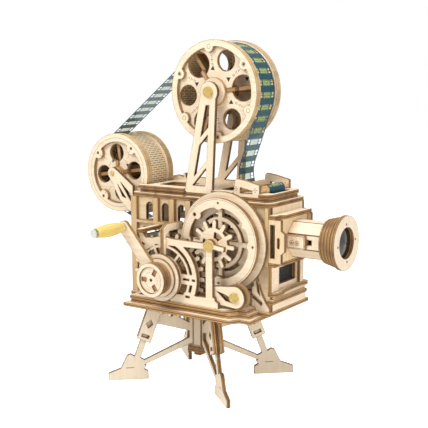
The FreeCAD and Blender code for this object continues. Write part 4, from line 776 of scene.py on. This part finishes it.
def film_path(step):
    """Points on a closed band round the wheels, step apart. Each straight run touches two wheels: its heading
    is the heading between their centres, turned by asin((signed radius of the second - that of the first) /
    distance), and the arcs between runs keep each wheel's radius. Side is 1 for a wheel inside the band and
    -1 outside."""
    wheels = ((UPPER, radius_of("upper_reel_drum"), 1), (at(68.1, 0, 175.2), 25.8 * MM, -1),
              (GUIDE, 5.2 * MM, -1), (FRONT, 3.7 * MM, 1), (IDLER, 9.6 * MM, 1), (CRANK, 12.0 * MM, -1),
              (at(-47.4, 0, 125.4), 1.6 * MM, 1), (LOWER, radius_of("takeup_reel_drum"), 1))
    centres = np.array([[centre[0], centre[2]] for centre, _, _ in wheels])
    radii = np.array([radius + FILM_OFF for _, radius, _ in wheels])
    sides = np.array([side for _, _, side in wheels])
    signed = radii * sides
    ahead = np.roll(centres, -1, axis=0) - centres
    reach = np.hypot(ahead[:, 0], ahead[:, 1])
    heading = np.arctan2(ahead[:, 1], ahead[:, 0]) + np.arcsin((np.roll(signed, -1) - signed) / reach)
    across = np.stack([-np.sin(heading), np.cos(heading)], axis=1)
    leave = centres + across * signed[:, None]
    meet = np.roll(centres, -1, axis=0) + across * np.roll(signed, -1)[:, None]
    arrive = np.roll(meet, 1, axis=0)
    points = []
    for number in range(len(wheels)):
        first = arrive[number] - centres[number]
        last = leave[number] - centres[number]
        start = math.atan2(first[1], first[0])
        sweep = (math.atan2(last[1], last[0]) - start) % math.tau
        if sides[number] > 0:
            sweep -= math.tau
        turns = start + np.linspace(0.0, sweep, max(3, int(abs(sweep) * radii[number] / step)))
        ring = centres[number] + radii[number] * np.stack([np.cos(turns), np.sin(turns)], axis=1)
        run = np.hypot(*(meet[number] - leave[number]))
        straight = np.linspace(leave[number], meet[number], max(2, int(run / step)))
        points += [ring[:-1], straight[:-1]]
    return np.concatenate(points)


def film_strip():
    """The film as a ribbon: a grid of (distance along the band) by (place across it), with the cells of the
    sprocket holes left out. Distances are even, so the path is read off at equal steps of its length."""
    path = film_path(PATH_STEP)
    closed = np.vstack([path, path[:1]])
    lengths = np.concatenate([[0.0], np.cumsum(np.hypot(*np.diff(closed, axis=0).T))])
    cells = int(round(lengths[-1] / FRAME_PITCH)) * CELLS
    stops = np.linspace(0.0, lengths[-1], cells + 1)[:-1]
    wide = len(LEVELS)
    grid = np.empty((cells, wide, 3))
    grid[:, :, 0] = np.interp(stops, lengths, closed[:, 0])[:, None]
    grid[:, :, 1] = BODY_Y + LEVELS[None, :]
    grid[:, :, 2] = np.interp(stops, lengths, closed[:, 1])[:, None]
    rows, columns = np.meshgrid(np.arange(cells), np.arange(wide - 1), indexing="ij")
    open_rows = (rows % CELLS < CELLS // 2) & (rows % HOLE_ROWS < HOLE_ROWS - 1)
    hole = open_rows & np.isin(columns, HOLE_COLUMNS)
    rows, columns = rows[~hole], columns[~hole]
    here = rows * wide + columns
    after = (rows + 1) % cells * wide + columns
    faces = np.stack([here, after, after + 1, here + 1], axis=1)
    mesh = bpy.data.meshes.new("film_strip")
    mesh.from_pydata(grid.reshape(-1, 3), [], faces)
    sheet = mesh.uv_layers.new(name="Strip")
    low, high = LEVELS[columns], LEVELS[columns + 1]
    corner_rows = np.stack([rows, rows + 1, rows + 1, rows], axis=1).ravel() / CELLS
    corner_levels = np.stack([low, low, high, high], axis=1).ravel()
    uv = np.stack([corner_rows, (corner_levels / FILM_HALF + 1) / 2], axis=1)
    sheet.data.foreach_set("uv", uv.ravel())
    mesh.update()
    strip = add_object("film_strip", mesh)
    wall = strip.modifiers.new("Thickness", "SOLIDIFY")
    wall.thickness = FILM_THICK
    wall.offset = 0.0
    strip.data.materials.append(film_finish())
    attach(strip, "base")
    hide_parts("film_loop")


def film_finish():
    """Teal film: along the strip each frame is a pale window in dark surrounds, read from the ribbon's own
    map. Near the take-up reel a darker olive is painted on the film, a painted reflection of the dark reel
    where elsewhere the film reflects the white backdrop."""
    made, g, shader, place, _ = material("film")
    along, over, _ = g.split(g.node("ShaderNodeUVMap", {}, uv_map="Strip").outputs[0])
    count = g.math("FLOOR", along)
    phase = g.apart(g.math("FRACT", along), 0.229)
    side = g.apart(over, 0.5)
    window = g.math("MULTIPLY", g.between(phase, 0.248, 0.262, 1.0, 0.0),
                    g.between(side, 0.238, 0.247, 1.0, 0.0))
    shade = g.noise(g.join(count, over, g.math("MULTIPLY", along, 0.35)), 3.0, 2.0)
    picture = g.ramp(shade, (0.3, linear(96, 156, 92)), (0.5, linear(124, 180, 108)),
                     (0.7, linear(88, 148, 96)))
    teal = g.mix(g.noise(place, 60.0, 2.0), linear(8, 84, 100), linear(6, 62, 76))
    x, _, z = g.split(place)
    # Painted reflection: a darker olive band, low near the take-up reel, where the film mirrors the reel and
    # not the white backdrop
    low = g.math("ADD", g.math("MULTIPLY", x, 0.82), g.math("MULTIPLY", z, 0.57))
    painted_reflection_band = g.between(low, 0.030, 0.052, 1.0, 0.0)
    painted_reflection = g.math("MULTIPLY", painted_reflection_band, g.math("LESS_THAN", x, -0.03))
    body = g.mix(painted_reflection, teal, linear(36, 52, 22))
    clear = g.mix(painted_reflection, picture, linear(190, 206, 130))
    feed(g, shader, Base_Color=g.mix(window, body, clear), Roughness=0.34,
         Alpha=g.between(window, 0.0, 1.0, 0.77, 0.3), Specular_IOR_Level=0.25)
    return made


# Studio

WHITE = (1.0, 1.0, 1.0, 1.0)
FLOOR_COLOUR = (0.9, 0.9, 0.9, 1.0)
FLOOR_GLOW = 0.74
SOFT_LIGHT = 0.31
# The point of the part that the lamps are turned to
LIT = (0.0, 0.0, 0.13)


def shown(g):
    """1 for a ray that is seen, straight, in a gloss or through glass, and 0 for one that only lights."""
    ray = g.node("ShaderNodeLightPath", {}).outputs
    bent = g.math("MAXIMUM", ray["Is Glossy Ray"], ray["Is Transmission Ray"])
    return g.math("MAXIMUM", ray["Is Camera Ray"], bent)


def studio():
    bpy.ops.mesh.primitive_plane_add(size=6.0, location=(0, 0, 0))
    floor = bpy.context.object
    floor.name = "studio_floor"
    made = bpy.data.materials.new("studio floor")
    g = fresh_graph(made)
    strength = g.math("MULTIPLY", shown(g), FLOOR_GLOW)
    matt = g.node("ShaderNodeBsdfDiffuse", {"Color": FLOOR_COLOUR}).outputs[0]
    glow = g.node("ShaderNodeEmission", {"Color": WHITE, "Strength": strength}).outputs[0]
    both = g.node("ShaderNodeAddShader", {0: matt, 1: glow}).outputs[0]
    g.node("ShaderNodeOutputMaterial", {0: both})
    floor.data.materials.append(made)

    world = bpy.data.worlds.new("studio")
    bpy.context.scene.world = world
    g = fresh_graph(world)
    soft = g.node("ShaderNodeBackground", {"Color": WHITE, "Strength": SOFT_LIGHT}).outputs[0]
    white = g.node("ShaderNodeBackground", {"Color": WHITE, "Strength": 1.0}).outputs[0]
    both = g.node("ShaderNodeMixShader", {0: shown(g), 1: soft, 2: white}).outputs[0]
    g.node("ShaderNodeOutputWorld", {0: both})

    lamp("key", (-0.35, -0.9, 0.95), 0.5, 9.2)
    lamp("fill", (0.95, -0.35, 0.35), 0.6, 4.6)
    lamp("top", (0.05, -0.1, 1.15), 0.6, 7.8)
    bpy.context.scene.view_settings.view_transform = "Standard"


def placed(side, lift, back, place):
    """The matrix of an object with these three axes, at this place."""
    return Matrix([*zip(side, lift, back, place), (0, 0, 0, 1)])


def lamp(name, place, size, power):
    data = bpy.data.lights.new(name, "AREA")
    data.size = size
    data.energy = power
    back = np.array(place) - np.array(LIT)
    back = back / np.linalg.norm(back)
    side = np.cross(Z, back)
    side = side / np.linalg.norm(side)
    add_object(name, data).matrix_world = placed(side, np.cross(back, side), back, place)


def camera():
    """The photograph's view: turned 34.74 degrees to the lens side, looking down 9.04 degrees."""
    yaw, pitch, roll = math.radians(34.738), math.radians(9.038), math.radians(-0.36)
    ahead = np.array([-math.sin(yaw) * math.cos(pitch), math.cos(yaw) * math.cos(pitch), -math.sin(pitch)])
    side = np.array([math.cos(yaw), math.sin(yaw), 0.0])
    lift = np.cross(side, ahead)
    right = side * math.cos(roll) + lift * math.sin(roll)
    top = -side * math.sin(roll) + lift * math.cos(roll)
    data = bpy.data.cameras.new("camera")
    data.sensor_width = 36.0
    data.lens = 76.49
    data.clip_start = 0.01
    made = add_object("camera", data)
    made.matrix_world = placed(right, top, -ahead, (0.41990, -0.58217, 0.25628))
    bpy.context.scene.camera = made


dress_plates()
dress_reels()
dress_lens()
dress_stand()
dress_rest()
small_heads()
film_strip()
studio()
camera()
